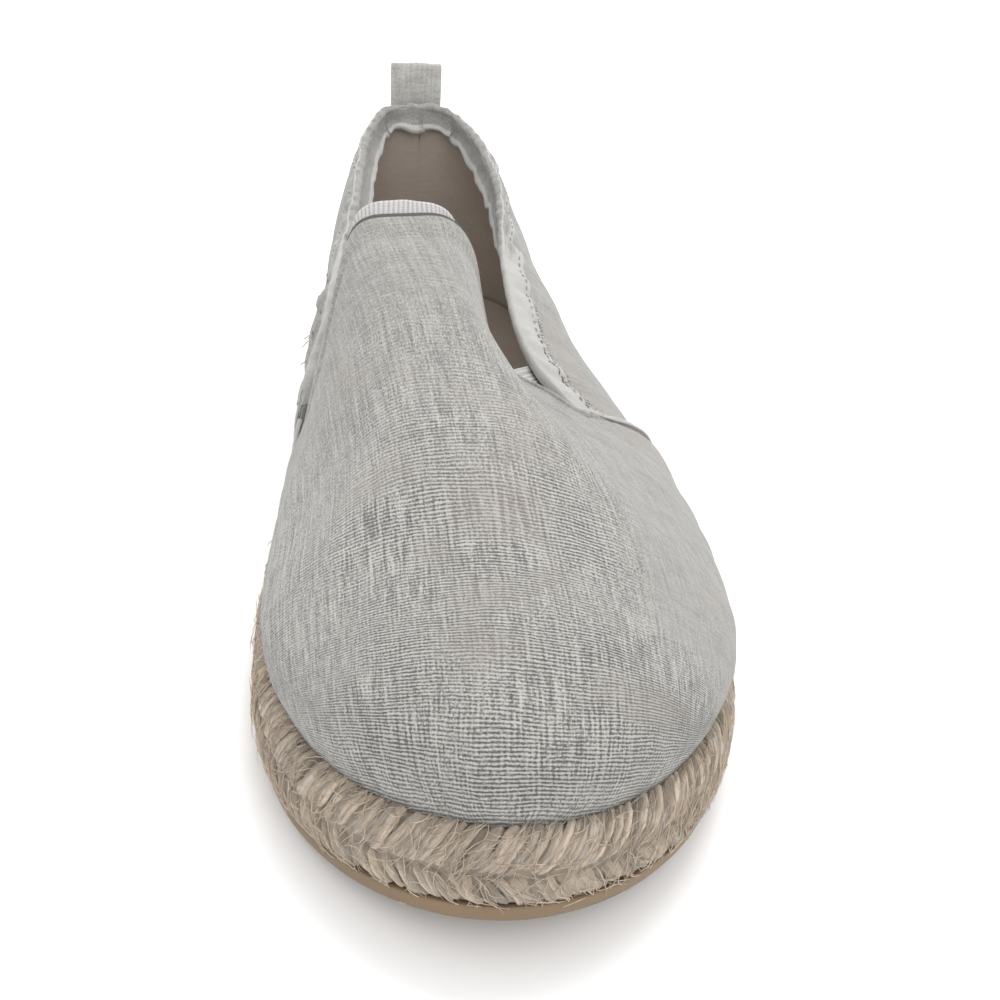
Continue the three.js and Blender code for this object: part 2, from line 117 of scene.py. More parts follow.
# The upper's top edge on each side, from the middle of the throat to the heel: the rib's place
# along the sole, then x and y, and from the notch on its height and how far it leans out.
TOP_EDGE = {
    "lateral": (
        (0, -14, 153), (25, -7, 153), (50, -1, 153), (75, 3.3, 150.5), (95, 7, 148),
        (112, 12.3, 144.5), (125, 19, 140.5), (136, 27, 139.5), (144, 34, 140.3, 40, 0.9),
        (151, 28.5, 145.5, 41.5, 0.85), (160, 22.5, 154, 45.7, 0.8), (172, 18.3, 164, 50.6, 0.7),
        (184, 16.8, 175, 55.2, 0.62), (197, 16, 187, 60, 0.56), (212, 16.5, 204, 66.3, 0.45),
        (232, 18.5, 232, 73.5, 0.3), (252, 15.8, 258.5, 79, 0.28), (270, 10, 275.5, 83, 0.3),
        (275, 7.5, 277.5, 83.8, 0.32), (280, 5.2, 278.7, 84.2, 0.36),
        (283.6, 2.3, 279.3, 84.4, 0.4), (284.6, 0.3, 279.45, 84.5, 0.4),
        (285, -2.5, 279.5, 84.5, 0.4),
    ),
    "medial": (
        (0, -14, 153), (13, -20, 153), (24, -24.6, 153.4), (33, -27.8, 153.5), (42, -29.6, 152.2),
        (52, -30.8, 148.8), (64, -32.3, 144.2), (79, -34.2, 140.2), (100, -35.8, 139.4),
        (128, -37, 141), (142, -39.5, 143.5, 45, 0.3), (152, -37.2, 150, 51, 0.4),
        (163, -34.7, 158, 58, 0.7), (180, -31.7, 174, 65, 0.85), (200, -27.8, 196, 69.5, 0.55),
        (222, -25, 218, 72.5, 0.3), (240, -23, 239, 75.5, 0.25), (256, -19.8, 260.5, 79.5, 0.25),
        (270, -14.8, 274.6, 83, 0.3), (275, -12.6, 277, 83.8, 0.32),
        (280, -10.3, 278.5, 84.2, 0.36), (283.6, -7.4, 279.3, 84.4, 0.4),
        (284.6, -5.4, 279.45, 84.5, 0.4), (285, -2.5, 279.5, 84.5, 0.4),
    ),
}
EDGE = {side: table("foot x y", *(row[:3] for row in rows)) for side, rows in TOP_EDGE.items()}
COLLAR = {
    side: table("foot z reach", *((row[0], *row[3:]) for row in rows if len(row) > 3))
    for side, rows in TOP_EDGE.items()
}


def column(rows, name, at):
    """One column of a table at the place "at" of its first column, by a cubic through the rows."""
    places, values = next(iter(rows.values())), rows[name]
    at = np.clip(at, places[0], places[-1])
    i = np.clip(np.searchsorted(places, at, side="right") - 1, 0, len(places) - 2)
    slopes = np.empty_like(values)
    slopes[1:-1] = (values[2:] - values[:-2]) / (places[2:] - places[:-2])
    slopes[0] = (values[1] - values[0]) / (places[1] - places[0])
    slopes[-1] = (values[-1] - values[-2]) / (places[-1] - places[-2])
    step = places[i + 1] - places[i]
    t = (at - places[i]) / step
    return (
        values[i] * (1 + 2 * t) * (1 - t) ** 2
        + slopes[i] * step * t * (1 - t) ** 2
        + values[i + 1] * t * t * (3 - 2 * t)
        + slopes[i + 1] * step * t * t * (t - 1)
    )


def stack(*coordinates):
    """Points, or faces, from coordinates whose shapes fit together."""
    return np.stack(np.broadcast_arrays(*coordinates), -1)


def unit(value):
    return np.clip(value, 0.0, 1.0)


def smooth(value):
    value = unit(value)
    return value * value * (3 - 2 * value)


def hump(value):
    """1 at 0, falling smoothly to 0 at -1 and 1."""
    return smooth(1 - np.abs(value))


def round_off(t, power):
    return (1 - unit(t) ** power) ** (1 / power)


def direction(vectors):
    return vectors / np.maximum(np.linalg.norm(vectors, axis=-1, keepdims=True), 1e-9)


def walked(line):
    """The distance walked along a line to each of its points."""
    return np.concatenate([[0], np.cumsum(np.linalg.norm(np.diff(line, axis=0), axis=1))])


def ripple(points, length, seed, waves=7):
    """Soft uneven waves of about this length over any points, between about -1 and 1."""
    draw = np.random.default_rng(seed)
    total = np.zeros(points.shape[:-1])
    for _ in range(waves):
        heading = direction(draw.normal(size=points.shape[-1]))
        turns = TAU / length * draw.uniform(0.7, 1.4)
        total += np.sin(points @ heading * turns + draw.uniform(0, TAU))
    return total / math.sqrt(waves)


# A place around the shoe is one number: 0 at the tip of the toe, up the outer side to 1 at the
# back of the heel, and on along the inner side to 2, which is the tip again.
def along_side(around):
    around = np.mod(around, 2)
    return np.where(around <= 1, around, 2 - around)


def is_lateral(around):
    return np.mod(around, 2) <= 1


def foot_of(around, inset=FEATHER):
    return inset + (1 - np.cos(np.pi * along_side(around))) / 2 * (LENGTH - 2 * inset)


def around_of(side, foot, inset=FEATHER):
    share = unit((foot - inset) / (LENGTH - 2 * inset))
    t = np.arccos(1 - 2 * share) / np.pi
    return t if side == "lateral" else 2 - t


def by_side(around, make):
    """What make gives for the side that each place around lies on."""
    lateral = is_lateral(around)
    return np.where(lateral, make("lateral"), make("medial"))


def of_side(tables, name, around, foot):
    """A column of the table of the side that each place around lies on."""
    return by_side(around, lambda side: column(tables[side], name, foot))


def past_notch(around, foot):
    """How far behind its side's notch a rib stands."""
    return by_side(around, lambda side: foot - NOTCH[side])


def axis_x(y):
    return -5.0 * unit(1 - y / 110) ** 2


def half_width(side, y, inset):
    """From the long axis to one side of the sole's outline."""
    toe = round_off((TOE["long"] - y) / (TOE["long"] - inset), TOE["power"])
    heel = round_off((y - (LENGTH - HEEL["long"])) / (HEEL["long"] - inset), HEEL["power"])
    return (column(OUTLINE, side, y) - inset) * toe * heel


def width_at(x, y, inset, middle):
    """Half the sole's width on the side of "middle" where x lies."""
    return np.where(x > middle, half_width("lateral", y, inset), half_width("medial", y, inset))


def sole_z(y):
    """How high the sole's underside lies: up at the toe and under the arch."""
    spring = SPRING["high"] * unit((SPRING["long"] - y) / SPRING["long"]) ** 2
    return spring + ARCH["high"] * np.sin(np.pi * unit((y - ARCH["from"]) / ARCH["long"])) ** 2


def outline(around, inset, height):
    """A point of the sole's outline, moved in by "inset" and up by "height" from its underside."""
    y = foot_of(around, inset)
    wide = by_side(around, lambda side: half_width(side, y, inset))
    x = axis_x(y) + np.where(is_lateral(around), wide, -wide)
    return stack(x, y, sole_z(y) + height)


def vamp_z(x, y):
    """The height of the vamp's plain form."""
    crown = column(VAMP, "crown", y)
    wide = width_at(x, y, FEATHER, crown) * np.where(x > crown, 1, -1)
    span = axis_x(y) + wide - crown
    across = unit((x - crown) / np.where(np.abs(span) < 1e-6, 1e-6, span))
    dome = column(VAMP, "dome", y) * (1 - across**2) ** (1 / column(VAMP, "fullness", y))
    off = np.abs(x - column(VAMP, "tongue_x", y)) / column(VAMP, "tongue_half", y)
    tongue = column(VAMP, "tongue", y) * np.exp(-(off**5)) * np.sqrt(1 - across**7)
    rise = round_off(1 - (y - FEATHER) / CAP["long"], CAP["power"])
    aside = ((x - HOLLOW["x"]) / HOLLOW["wide"]) ** 2 + ((y - HOLLOW["y"]) / HOLLOW["long"]) ** 2
    return sole_z(y) + SOLE_TOP + GAP + (dome + tongue - HOLLOW["depth"] * np.exp(-aside)) * rise


def edge_foot(foot):
    """The rib's place in the tables of the top edge, which run the full length of the shoe."""
    return foot - FEATHER * smooth(1 - (foot - FEATHER) / 30) + FEATHER * smooth((foot - 235) / 45)


def top_edge(around):
    """A point of the upper's top edge."""
    foot = edge_foot(foot_of(around))
    x, y = (of_side(EDGE, name, around, foot) for name in "xy")
    z = of_side(COLLAR, "z", around, foot)
    blend = smooth((past_notch(around, foot) + BLEND) / BLEND)
    return stack(x, y, vamp_z(x, y) * (1 - blend) + z * blend)


def outward(around):
    """The level direction out of the shoe."""
    along = outline(around + 1e-3, FEATHER, 0) - outline(around - 1e-3, FEATHER, 0)
    return direction(stack(along[..., 1], -along[..., 0], 0))


def upper_point(around, rise):
    """A point of the upper's outer face, with rise 0 at the sole and 1 at the top edge."""
    around, rise = np.broadcast_arrays(np.asarray(around, float), np.asarray(rise, float))
    start = outline(around, FEATHER, SOLE_TOP + GAP)
    end = top_edge(around)
    out = outward(around)
    foot = foot_of(around)
    share = smooth((past_notch(around, foot) + BLEND) / (2 * BLEND))
    r = rise[..., None]

    flat = start[..., :2] + (end - start)[..., :2] * r**2
    z = np.where(rise > 0, vamp_z(flat[..., 0], flat[..., 1]), start[..., 2])
    vamp = np.concatenate([flat, z[..., None]], -1)
    height = unit((z - start[..., 2]) / BELLY["tall"])
    bulge = smooth((foot - BELLY["side_from"]) / (BELLY["side_at"] - BELLY["side_from"]))
    bulge = BELLY["tip"] + (BELLY["side"] - BELLY["tip"]) * bulge
    vamp = vamp + out * (bulge * np.sin(np.pi * height) * (1 - rise))[..., None]

    tall = (end - start)[..., 2:]
    reach = of_side(COLLAR, "reach", around, edge_foot(foot))
    reach = reach * np.hypot(*np.moveaxis((end - start)[..., :2], -1, 0))
    up = np.array([0.0, 0.0, 1.0])
    low = start + out * BELLY["quarter"] + up * 0.42 * tall
    high = end + out * reach[..., None] - up * 0.2 * tall
    s = 1 - r
    quarter = start * s**3 + 3 * low * s * s * r + 3 * high * s * r * r + end * r**3
    return vamp * (1 - share[..., None]) + quarter * share[..., None]


def upper_frame(around, rise):
    """The face's outward normal, its direction up the rib, and its size per unit of rise."""
    step = 0.004
    along = upper_point(around + 2e-3, rise) - upper_point(around - 2e-3, rise)
    high, low = np.minimum(rise + step, 1.0), np.maximum(rise - step, 0.0)
    up = (upper_point(around, high) - upper_point(around, low)) / (high - low)[..., None]
    return direction(np.cross(along, up)), direction(up), np.linalg.norm(up, axis=-1)


def on_upper(around, down, depth):
    """A point "down" millimetres below the top edge and "depth" millimetres in from the outer
    face. Below 0, down goes on past the edge and depth goes outward."""
    around, down, depth = np.broadcast_arrays(
        np.asarray(around, float), np.asarray(down, float), np.asarray(depth, float)
    )
    _, up, speed = upper_frame(around, np.ones(around.shape))
    rise = 1 - np.maximum(down, 0) / speed
    normal, _, _ = upper_frame(around, rise)
    beyond = np.maximum(-down, 0)
    return upper_point(around, rise) + up * beyond[..., None] - normal * depth[..., None]


# ---------------------------------------------------------------------------------------------
# Meshes
# ---------------------------------------------------------------------------------------------
SHIFT = outline(np.linspace(0, 2, 89), 0, 0)
SHIFT = np.array(
    [-(SHIFT[:, 0].max() + SHIFT[:, 0].min()) / 2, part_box("jute_sole")[0][1] / MM, 0.0]
)


def quads(rows, count, closed=False, start=0):
    """Faces between rows of points, "count" to a row."""
    k = np.arange(rows - 1)[:, None] * count
    j = np.arange(count if closed else count - 1)
    a, b = k + j, k + (j + 1) % count
    return stack(a, b, b + count, a + count).reshape(-1, 4) + start


def shell(front, back, closed=False):
    """A closed sheet of cloth between two grids of points of the same size."""
    rows, count = front.shape[:2]
    n = rows * count
    j = np.arange(count if closed else count - 1)
    j2 = (j + 1) % count
    top = (rows - 1) * count
    faces = [
        quads(rows, count, closed),
        quads(rows, count, closed, n)[:, ::-1],
        stack(n + j, n + j2, j2, j),
        stack(top + j, top + j2, n + top + j2, n + top + j),
    ]
    if not closed:
        k = np.arange(rows - 1) * count
        faces.append(stack(n + k, k, k + count, n + k + count))
        k = k + count - 1
        faces.append(stack(k, n + k, n + k + count, k + count))
    return np.concatenate([front.reshape(-1, 3), back.reshape(-1, 3)]), np.concatenate(faces)


def both_faces(lays):
    """The lay of a shell, the same on its front and its back."""
    return np.concatenate([np.array(lays).reshape(-1, 3)] * 2)


def tubes(paths, radius, side_radius=None, normals=None, sides=6, shade=None, close=0.35):
    """Threads along many paths at once: paths is (threads, points, 3). Returns points, faces and
    the lay of each point: across and along its thread, and the thread's shade."""
    many, count = paths.shape[:2]
    tangent = direction(np.gradient(paths, axis=1))
    if normals is None:
        normals = np.broadcast_to(np.array([0.13, 0.21, 0.97]), paths.shape)
    beside = direction(np.cross(tangent, normals))
    normals = np.cross(beside, tangent)
    radius = np.broadcast_to(np.asarray(radius, float), (many, count))
    side_radius = radius if side_radius is None else np.broadcast_to(side_radius, (many, count))
    ends = np.ones(count)
    ends[[0, -1]] = close
    angle = np.arange(sides) * TAU / sides
    ring = (
        normals[:, :, None] * (np.cos(angle) * (radius * ends)[..., None])[..., None]
        + beside[:, :, None] * (np.sin(angle) * (side_radius * ends)[..., None])[..., None]
    )
    points = (paths[:, :, None] + ring).reshape(-1, 3)
    tube = quads(count, sides, True)[:, ::-1]
    offsets = np.arange(many) * count * sides
    faces = (tube[None] + offsets[:, None, None]).reshape(-1, 4).tolist()
    first = np.arange(sides)
    caps = [first, (count - 1) * sides + first[::-1]]
    for cap in caps:
        faces += (cap[None] + offsets[:, None]).tolist()
    walk = np.linalg.norm(np.diff(paths, axis=1), axis=-1)
    walk = np.concatenate([np.zeros((many, 1)), np.cumsum(walk, 1)], 1)
    shade = np.zeros(many) if shade is None else shade
    thread = np.arange(many)[:, None, None]  # moves each thread's lay to a place of its own
    across, along = angle * radius[..., None] + thread * 3.7, walk[..., None] + thread * 1.9
    return points, faces, stack(across, along, shade[:, None, None]).reshape(-1, 3)


def joined(parts):
    """The points, faces and lays of several sets of threads as one."""
    points, faces, lays, start = [], [], [], 0
    for part_points, part_faces, part_lay in parts:
        points.append(part_points)
        lays.append(part_lay)
        faces += [[index + start for index in face] for face in part_faces]
        start += len(part_points)
    return np.concatenate(points), faces, np.concatenate(lays)


def add_piece(name, points, faces, finishes, replaces=(), lay=None, which=None):
    """A mesh piece from points in millimetres. "lay" is where each point lies on the cloth, and
    "which" gives each face's finish."""
    mesh = bpy.data.meshes.new(name)
    faces = faces.tolist() if isinstance(faces, np.ndarray) else faces
    mesh.from_pydata(((points + SHIFT) * MM).tolist(), [], faces)
    for finish in finishes:
        mesh.materials.append(finish)
    mesh.polygons.foreach_set("use_smooth", np.ones(len(mesh.polygons), bool))
    if which is not None:
        mesh.polygons.foreach_set("material_index", np.asarray(which, np.int32))
    if lay is not None:
        attribute = mesh.attributes.new("lay", "FLOAT_VECTOR", "POINT")
        attribute.data.foreach_set("vector", np.asarray(lay, np.float32).ravel())
    if mesh.validate():
        raise RuntimeError(f"{name}: its mesh had faces that don't hold together")
    mesh.update()
    piece = bpy.data.objects.new(name, mesh)
    bpy.context.scene.collection.objects.link(piece)
    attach(piece, "root")
    if replaces:
        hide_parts(*replaces)
    return piece


def add_threads(name, parts, material):
    """A piece of threads, from what tubes gives."""
    points, faces, lay = joined(parts)
    return add_piece(name, points, faces, [material], lay=lay)


def cad_corners(node):
    """The lowest and highest corner of a part of the frame, in the shoe's own millimetres."""
    return [np.array(corner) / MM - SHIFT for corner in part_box(node)]


# ---------------------------------------------------------------------------------------------
# Finishes
# ---------------------------------------------------------------------------------------------
MIX_FACTOR, MIX_A, MIX_B, MIX_RESULT = 0, 6, 7, 2
OBJECT_PLACE, VECTOR = 3, 1  # outputs of the Texture Coordinate and the Attribute node


class Value:
    """A number in a finish. Arithmetic on it adds Math nodes."""

    def __init__(self, finish, socket):
        self.finish = finish
        self.socket = socket

    def math(self, operation, *others):
        inputs = dict(enumerate((self, *others)))
        return self.finish.node("Math", {"operation": operation}, inputs)

    def __add__(self, other):
        return self.math("ADD", other)

    __radd__ = __add__

    def __mul__(self, other):
        return self.math("MULTIPLY", other)

    __rmul__ = __mul__

    def __sub__(self, other):
        return self.math("SUBTRACT", other)

    def __rsub__(self, other):
        return self * -1 + other

    def sine(self):
        return self.math("SINE")

    def step(self, low, high):
        """0 below low, 1 above high, smooth between."""
        settings = {"interpolation_type": "SMOOTHSTEP", "clamp": True}
        inputs = {"Value": self, "From Min": low, "From Max": high}
        return self.finish.node("MapRange", settings, inputs)


class Finish:
    """One material: a Principled shader and the nodes that feed it."""

    def __init__(self, name, color, **fixed):
        self.material = bpy.data.materials.new(name)
        self.material.use_nodes = True
        self.tree = self.material.node_tree
        self.tree.nodes.clear()
        self.material.diffuse_color = (*color, 1)
        self.shader = self.tree.nodes.new("ShaderNodeBsdfPrincipled")
        output = self.tree.nodes.new("ShaderNodeOutputMaterial")
        self.tree.links.new(self.shader.outputs["BSDF"], output.inputs["Surface"])
        self.feed({"Base Color": (*color, 1)})
        for name, value in fixed.items():
            self.feed({name.replace("_", " ").title().replace("Ior", "IOR"): value})

    def put(self, socket, value):
        if isinstance(value, Value):
            self.tree.links.new(value.socket, socket)
        else:
            socket.default_value = value

    def feed(self, inputs):
        for name, value in inputs.items():
            self.put(self.shader.inputs[name], value)

    def node(self, kind, settings=None, inputs=None, out=0):
        made = self.tree.nodes.new("ShaderNode" + kind)
        for name, value in (settings or {}).items():
            setattr(made, name, value)
        for name, value in (inputs or {}).items():
            self.put(made.inputs[name], value)
        return Value(self, made.outputs[out])

    def lay(self):
        """Across, along and zone: where the surface lies on its cloth, in millimetres."""
        vector = self.node("Attribute", {"attribute_name": "lay"}, out=VECTOR)
        parts = self.node("SeparateXYZ", None, {0: vector})
        outputs = parts.socket.node.outputs
        return [Value(self, outputs[i]) for i in range(3)]

    def noise(self, x, y, z=0.0, detail=2.0, roughness=0.5):
        at = self.node("CombineXYZ", None, {0: x, 1: y, 2: z})
        inputs = {"Vector": at, "Scale": 1.0, "Detail": detail, "Roughness": roughness}
        return self.node("TexNoise", None, inputs)

    def place_noise(self, scale, detail):
        """Noise by the place in the room instead of the place on the cloth."""
        at = self.node("TexCoord", None, None, OBJECT_PLACE)
        return self.node("TexNoise", None, {"Vector": at, "Scale": scale, "Detail": detail})

    def mix(self, factor, a, b):
        a, b = (c if isinstance(c, Value) else (*c, 1) for c in (a, b))
        inputs = {MIX_FACTOR: factor, MIX_A: a, MIX_B: b}
        return self.node("Mix", {"data_type": "RGBA"}, inputs, MIX_RESULT)

    def shades(self, tone, reach, color, dark, light=1.0):
        """From a darker to a lighter shade of a colour, as the tone goes through its reach."""
        return self.mix(tone.step(*reach), shaded(color, dark), shaded(color, light))

    def bump(self, height, distance, strength=1.0):
        inputs = {"Height": height, "Distance": distance, "Strength": strength}
        self.feed({"Normal": self.node("Bump", None, inputs)})


def linear(red, green, blue):
    """A colour as seen on a colour card, 0 to 255, as the light it sends back."""
    shares = [c / 255 for c in (red, green, blue)]
    return tuple(c / 12.92 if c <= 0.04045 else ((c + 0.055) / 1.055) ** 2.4 for c in shares)


def shaded(color, factor):
    """A colour made darker or lighter."""
    return tuple(c * factor for c in color)


def chambray_finish(colours, sizes, name="grey_chambray", level=1.0):
    """Slubby plain weave: weft lines that vary along their length, finer warp, heathered grey."""
    base = shaded(colours.cloth, level)
    look = Finish(
        name, base, roughness=0.92, specular_ior_level=0.2, sheen_weight=0.15, sheen_roughness=0.6
    )
    u, v, zone = look.lay()
    drift = (look.noise(u * 0.05, v * 0.06, 2.0) - 0.5) * 3.0
    fine_drift = (look.noise(u * 0.35, v * 0.8, 8.0, 3.0) - 0.5) * 0.75
    weft = ((v + drift + fine_drift) * (TAU / sizes.weft_pitch)).sine() * 0.5
    across = ((u + drift * 0.5 + fine_drift) * (TAU / sizes.weft_pitch)).sine() * 0.5
    crossing = look.noise(u * 0.22, v * 0.16, 9.0, 3.0, 0.6).step(0.4, 0.62)
    slub = look.noise(u * 0.1, v * 1.0, 4.0, 3.0, 0.65).step(0.34, 0.66)
    broken = look.noise(u * 1.5, v * 1.15, 3.0, 3.0, 0.75).step(0.3, 0.66)
    faint = look.noise(u * 0.05, v * 0.05, 6.0, 2.0).step(0.36, 0.62)
    warp = look.noise(u * 1.05, v * 0.07, 12.0, 2.0, 0.6) - 0.5
    patch = look.noise(u * 0.04, v * 0.03, 12.0).step(0.4, 0.6) * zone.step(0.1, 0.6)
    streak = look.noise(u * 1.4, v * 0.05, 5.0, 3.0, 0.7) - 0.5
    salt = look.noise(u * 1.6, v * 1.7, 1.0, 3.0, 0.75) - 0.5
    pepper = look.noise(u * 2.6, v * 1.2, 7.0, 2.0, 0.6) - 0.5
    calm = zone.step(0.0, 0.12) * 0.65 + 0.35
    lines = weft * zone * (slub * 0.45 + broken * 1.35 + 0.05) * (faint * 0.45 + 0.55)
    lines = lines + across * crossing * zone * 0.42
    tone = lines * 1.55 + warp * (patch * 1.9 + 0.6) * calm + streak * (1.3 - zone * 0.3) * calm
    tone = tone + salt * (calm * 1.6 + zone * 1.2) + pepper * (calm * 1.2 + zone * 0.8)
    tone = tone + (slub - 0.5) * 0.12 + 0.5
    tone = tone + (look.noise(u * 0.25, v * 0.25, 3.0) - 0.5) * 0.3
    cloth = look.shades(tone, (-0.25, 1.25), base, 0.36, 1.64)
    warm = look.noise(u * 0.028, v * 0.035, 1.5, 2.0).step(0.5, 0.72) * 0.55
    cloth = look.mix(warm, cloth, look.mix(0.75, cloth, colours.cloth_warm))
    look.feed({"Base Color": cloth})
    height = lines * 1.5 + warp * patch * 1.2 + streak * 0.5 + salt * 0.9 + pepper * 0.4
    look.bump(height, 0.22 * MM, 0.75)
    return look.material


def lining_finish(colours):
    """Matt beige cotton: fine threads, fuzz and some wear."""
    look = Finish("beige_lining", colours.lining, roughness=0.95, specular_ior_level=0.15)
    u, v, _ = look.lay()
    fuzz = look.noise(u * 1.6, v * 1.6, 2.0, 3.0, 0.7)
    thread = look.noise(u * 0.25, v * 2.4, 6.0, 2.0)
    wear = look.noise(u * 0.04, v * 0.05, 4.0, 2.0)
    tone = (thread - 0.5) * 0.35 + (fuzz - 0.5) * 0.6 + (wear - 0.5) * 0.5 + 0.5
    look.feed({"Base Color": look.shades(tone, (-0.2, 1.2), colours.lining, 0.75, 1.22)})
    look.bump(thread * 0.5 + fuzz, 0.12 * MM, 0.6)
    return look.material


def tape_finish(colours):
    """Pale twill tape; where the zone falls to 0 it turns into the grey cloth between."""
    look = Finish(
        "pale_twill_tape", colours.tape, roughness=0.9, specular_ior_level=0.2,
        sheen_weight=0.2, sheen_roughness=0.5,
    )
    u, v, zone = look.lay()
    twill = ((u * 0.8 + v) * (TAU / 0.6)).sine() * 0.5
    fuzz = look.noise(u * 1.9, v * 1.9, 2.0, 3.0, 0.65)
    soil = look.noise(u * 0.16, v * 0.3, 5.0, 3.0, 0.65).step(0.42, 0.7)
    tone = twill * 0.12 + (fuzz - 0.5) * 0.9 + 0.5
    tape = look.shades(tone, (-0.3, 1.1), colours.tape, 0.8, 1.08)
    tape = look.mix(soil * 0.42, tape, shaded(colours.cloth, 1.3))
    dust = (fuzz - 0.2) * 1.6 - soil * 0.25
    grey = look.mix(dust, shaded(colours.cloth, 0.62), shaded(colours.cloth, 1.4))
    look.feed({"Base Color": look.mix(zone.step(0.25, 0.75), grey, tape)})
    look.bump(twill * 0.25 + fuzz + soil * 0.8, 0.16 * MM, 0.8)
    return look.material


def elastic_finish(colours):
    """White elastic: fine threads across, and painted shade where the zone is low: in the grooves
    between ribs and at the foot of the throat band.
    """
    look = Finish(
        "white_ribbed_elastic", colours.elastic, roughness=0.8, specular_ior_level=0.25,
        sheen_weight=0.2, sheen_roughness=0.5,
    )
    u, v, zone = look.lay()
    cross = (v * (TAU / 0.55)).sine() * 0.5
    fuzz = look.noise(u * 2.2, v * 1.2, 3.0, 3.0, 0.6)
    # A low zone darkens the tone: painted shade in the rib grooves and at the band's foot.
    tone = cross * 0.2 + (fuzz - 0.5) * 0.6 + zone * 0.6 + 0.4
    look.feed({"Base Color": look.shades(tone, (-0.9, 1.1), colours.elastic, 0.3)})
    look.bump(cross * 0.5 + fuzz * 0.8, 0.12 * MM, 0.7)
    return look.material


def jute_finish(colours, name, level):
    """Hairy plant fibre: streaks along each strand, darker and lighter strands."""
    base = shaded(colours.jute, level)
    look = Finish(
        name, base, roughness=0.95, specular_ior_level=0.15, sheen_weight=0.25, sheen_roughness=0.7
    )
    u, v, shade = look.lay()
    hair = look.noise(u * 3.6, v * 0.42, shade * 9.0, 3.0, 0.7)
    clump = look.noise(u * 0.6, v * 0.35, shade * 5.0 + 2.0, 2.0)
    tone = (hair - 0.5) * 1.5 + (clump - 0.5) * 0.9 + shade * 0.55 + 0.5
    fibre = look.shades(tone, (-0.35, 1.35), base, 0.5, 1.5)
    grey = look.mix(0.5, fibre, shaded(colours.jute_grey, level))
    look.feed({"Base Color": look.mix(clump.step(0.42, 0.66), fibre, grey)})
    look.bump(hair * 1.6 + clump * 0.6, 0.3 * MM, 0.85)
    return look.material


def rubber_finish(colours):
    """Tan gum rubber: soft clouds of colour, and a fine grain with uneven gloss."""
    look = Finish("tan_gum_rubber", colours.rubber, roughness=0.5, specular_ior_level=0.4)
    cloud, grain = look.place_noise(45.0, 3.0), look.place_noise(1500.0, 2.0)
    tone = (cloud - 0.5) * 1.2 + (grain - 0.5) * 0.35 + 0.5
    look.feed({
        "Base Color": look.shades(tone, (0.0, 1.0), colours.rubber, 0.82, 1.16),
        "Roughness": grain * 0.2 + cloud * 0.3 + 0.27,
    })
    look.bump(grain, 0.08 * MM, 0.6)
    return look.material


def thread_finish(name, color):
    """Twisted sewing thread, some stitches darker than others."""
    look = Finish(name, color, roughness=0.75, specular_ior_level=0.3)
    u, v, shade = look.lay()
    twist = ((v * 1.0 + u * 1.4) * (TAU / 0.5)).sine() * 0.5
    tone = twist * 0.5 + shade * 0.4 + 0.5
    look.feed({"Base Color": look.shades(tone, (0.0, 1.0), color, 0.72, 1.08)})
    look.bump(twist, 0.06 * MM, 0.7)
    return look.material


def floor_finish():
    white = (0.92, 0.92, 0.92)
    look = Finish("pale_floor", white, roughness=0.9, specular_ior_level=0.1)
    mottle = look.place_noise(4.0, 1.0)
    look.feed({"Base Color": look.mix(mottle, shaded(white, 0.995), white)})
    return look.material


# ---------------------------------------------------------------------------------------------
# Sizes and colours a maker may change
# ---------------------------------------------------------------------------------------------
def millimetres(name, description, default, low, high):
    return FloatProperty(
        name=name, description=f"{description}, in mm", default=default, min=low, max=high
    )


def turn(name, description, degrees):
    return FloatProperty(
        name=name, description=description, default=math.radians(degrees),
        subtype="ANGLE", unit="ROTATION",
    )


def colour(name, red, green, blue):
    return FloatVectorProperty(
        name=name, description=f"Colour of the {name.lower()}", default=linear(red, green, blue),
        subtype="COLOR", min=0, max=1,
    )


class EspadrilleSizes(bpy.types.PropertyGroup):
    """Sizes of the cloth, yarn and thread, in millimetres."""

    weft_pitch: millimetres("Weft pitch", "Distance between weft lines", 1.05, 0.4, 4)
    yarn_pitch: millimetres("Yarn pitch", "Distance between jute strands", 1.32, 0.8, 5)
    yarn_lean: millimetres("Yarn lean", "How far each strand runs sideways", 6.0, 0, 15)
    stray_fibres: IntProperty(
        name="Stray fibres", description="Loose hairs on the jute", default=3800, min=0, max=9000
    )
    rib_pitch: millimetres("Rib pitch", "Distance between ribs of the throat band", 1.3, 0.6, 4)
    stitch_length: millimetres("Stitch length", "Length of one stitch", 2.3, 1, 6)
    tread_pitch: millimetres("Tread pitch", "Distance between grooves of the tread", 6.0, 3, 15)


class EspadrilleColours(bpy.types.PropertyGroup):
    """Colours of the materials."""

    cloth: colour("Cloth", 139, 138, 134)
    cloth_warm: colour("Warm patches of cloth", 146, 137, 132)
    lining: colour("Lining", 170, 159, 149)
    tape: colour("Tape", 170, 169, 166)
    elastic: colour("Elastic", 194, 191, 190)
    jute: colour("Jute", 172, 156, 137)
    jute_grey: colour("Grey jute", 172, 163, 152)
    rubber: colour("Rubber", 119, 100, 76)
    grey_thread: colour("Grey thread", 158, 157, 152)
    white_thread: colour("White thread", 190, 188, 184)
    dark_thread: colour("Dark thread", 112, 110, 105)
    # Painted shade: the dark line in the gap between the vamp's hem and the throat band.
    painted_gap_shade: colour("Painted shade in the gap at the hem", 82, 80, 76)


class EspadrilleStage(bpy.types.PropertyGroup):
    """Camera and light."""

    yaw: turn("Yaw", "How far the camera looks to the outer side", 9.77)
    pitch: turn("Pitch", "How far the camera looks down", 28.39)
    roll: turn("Roll", "How far the camera leans", 4.7)
    lens: millimetres("Lens", "Focal length of the camera", 51.5, 10, 300)
    place: FloatVectorProperty(
        name="Place", description="Where the camera stands", default=(-0.0462, -0.3221, 0.1932),
        subtype="TRANSLATION", unit="LENGTH",
    )
    light: FloatProperty(
        name="Light", description="Strength of the light from all round", default=1.1, min=0, max=5
    )


def settings():
    scene = bpy.context.scene
    return scene.espadrille_sizes, scene.espadrille_colours, scene.espadrille_stage


FINISHES = {}


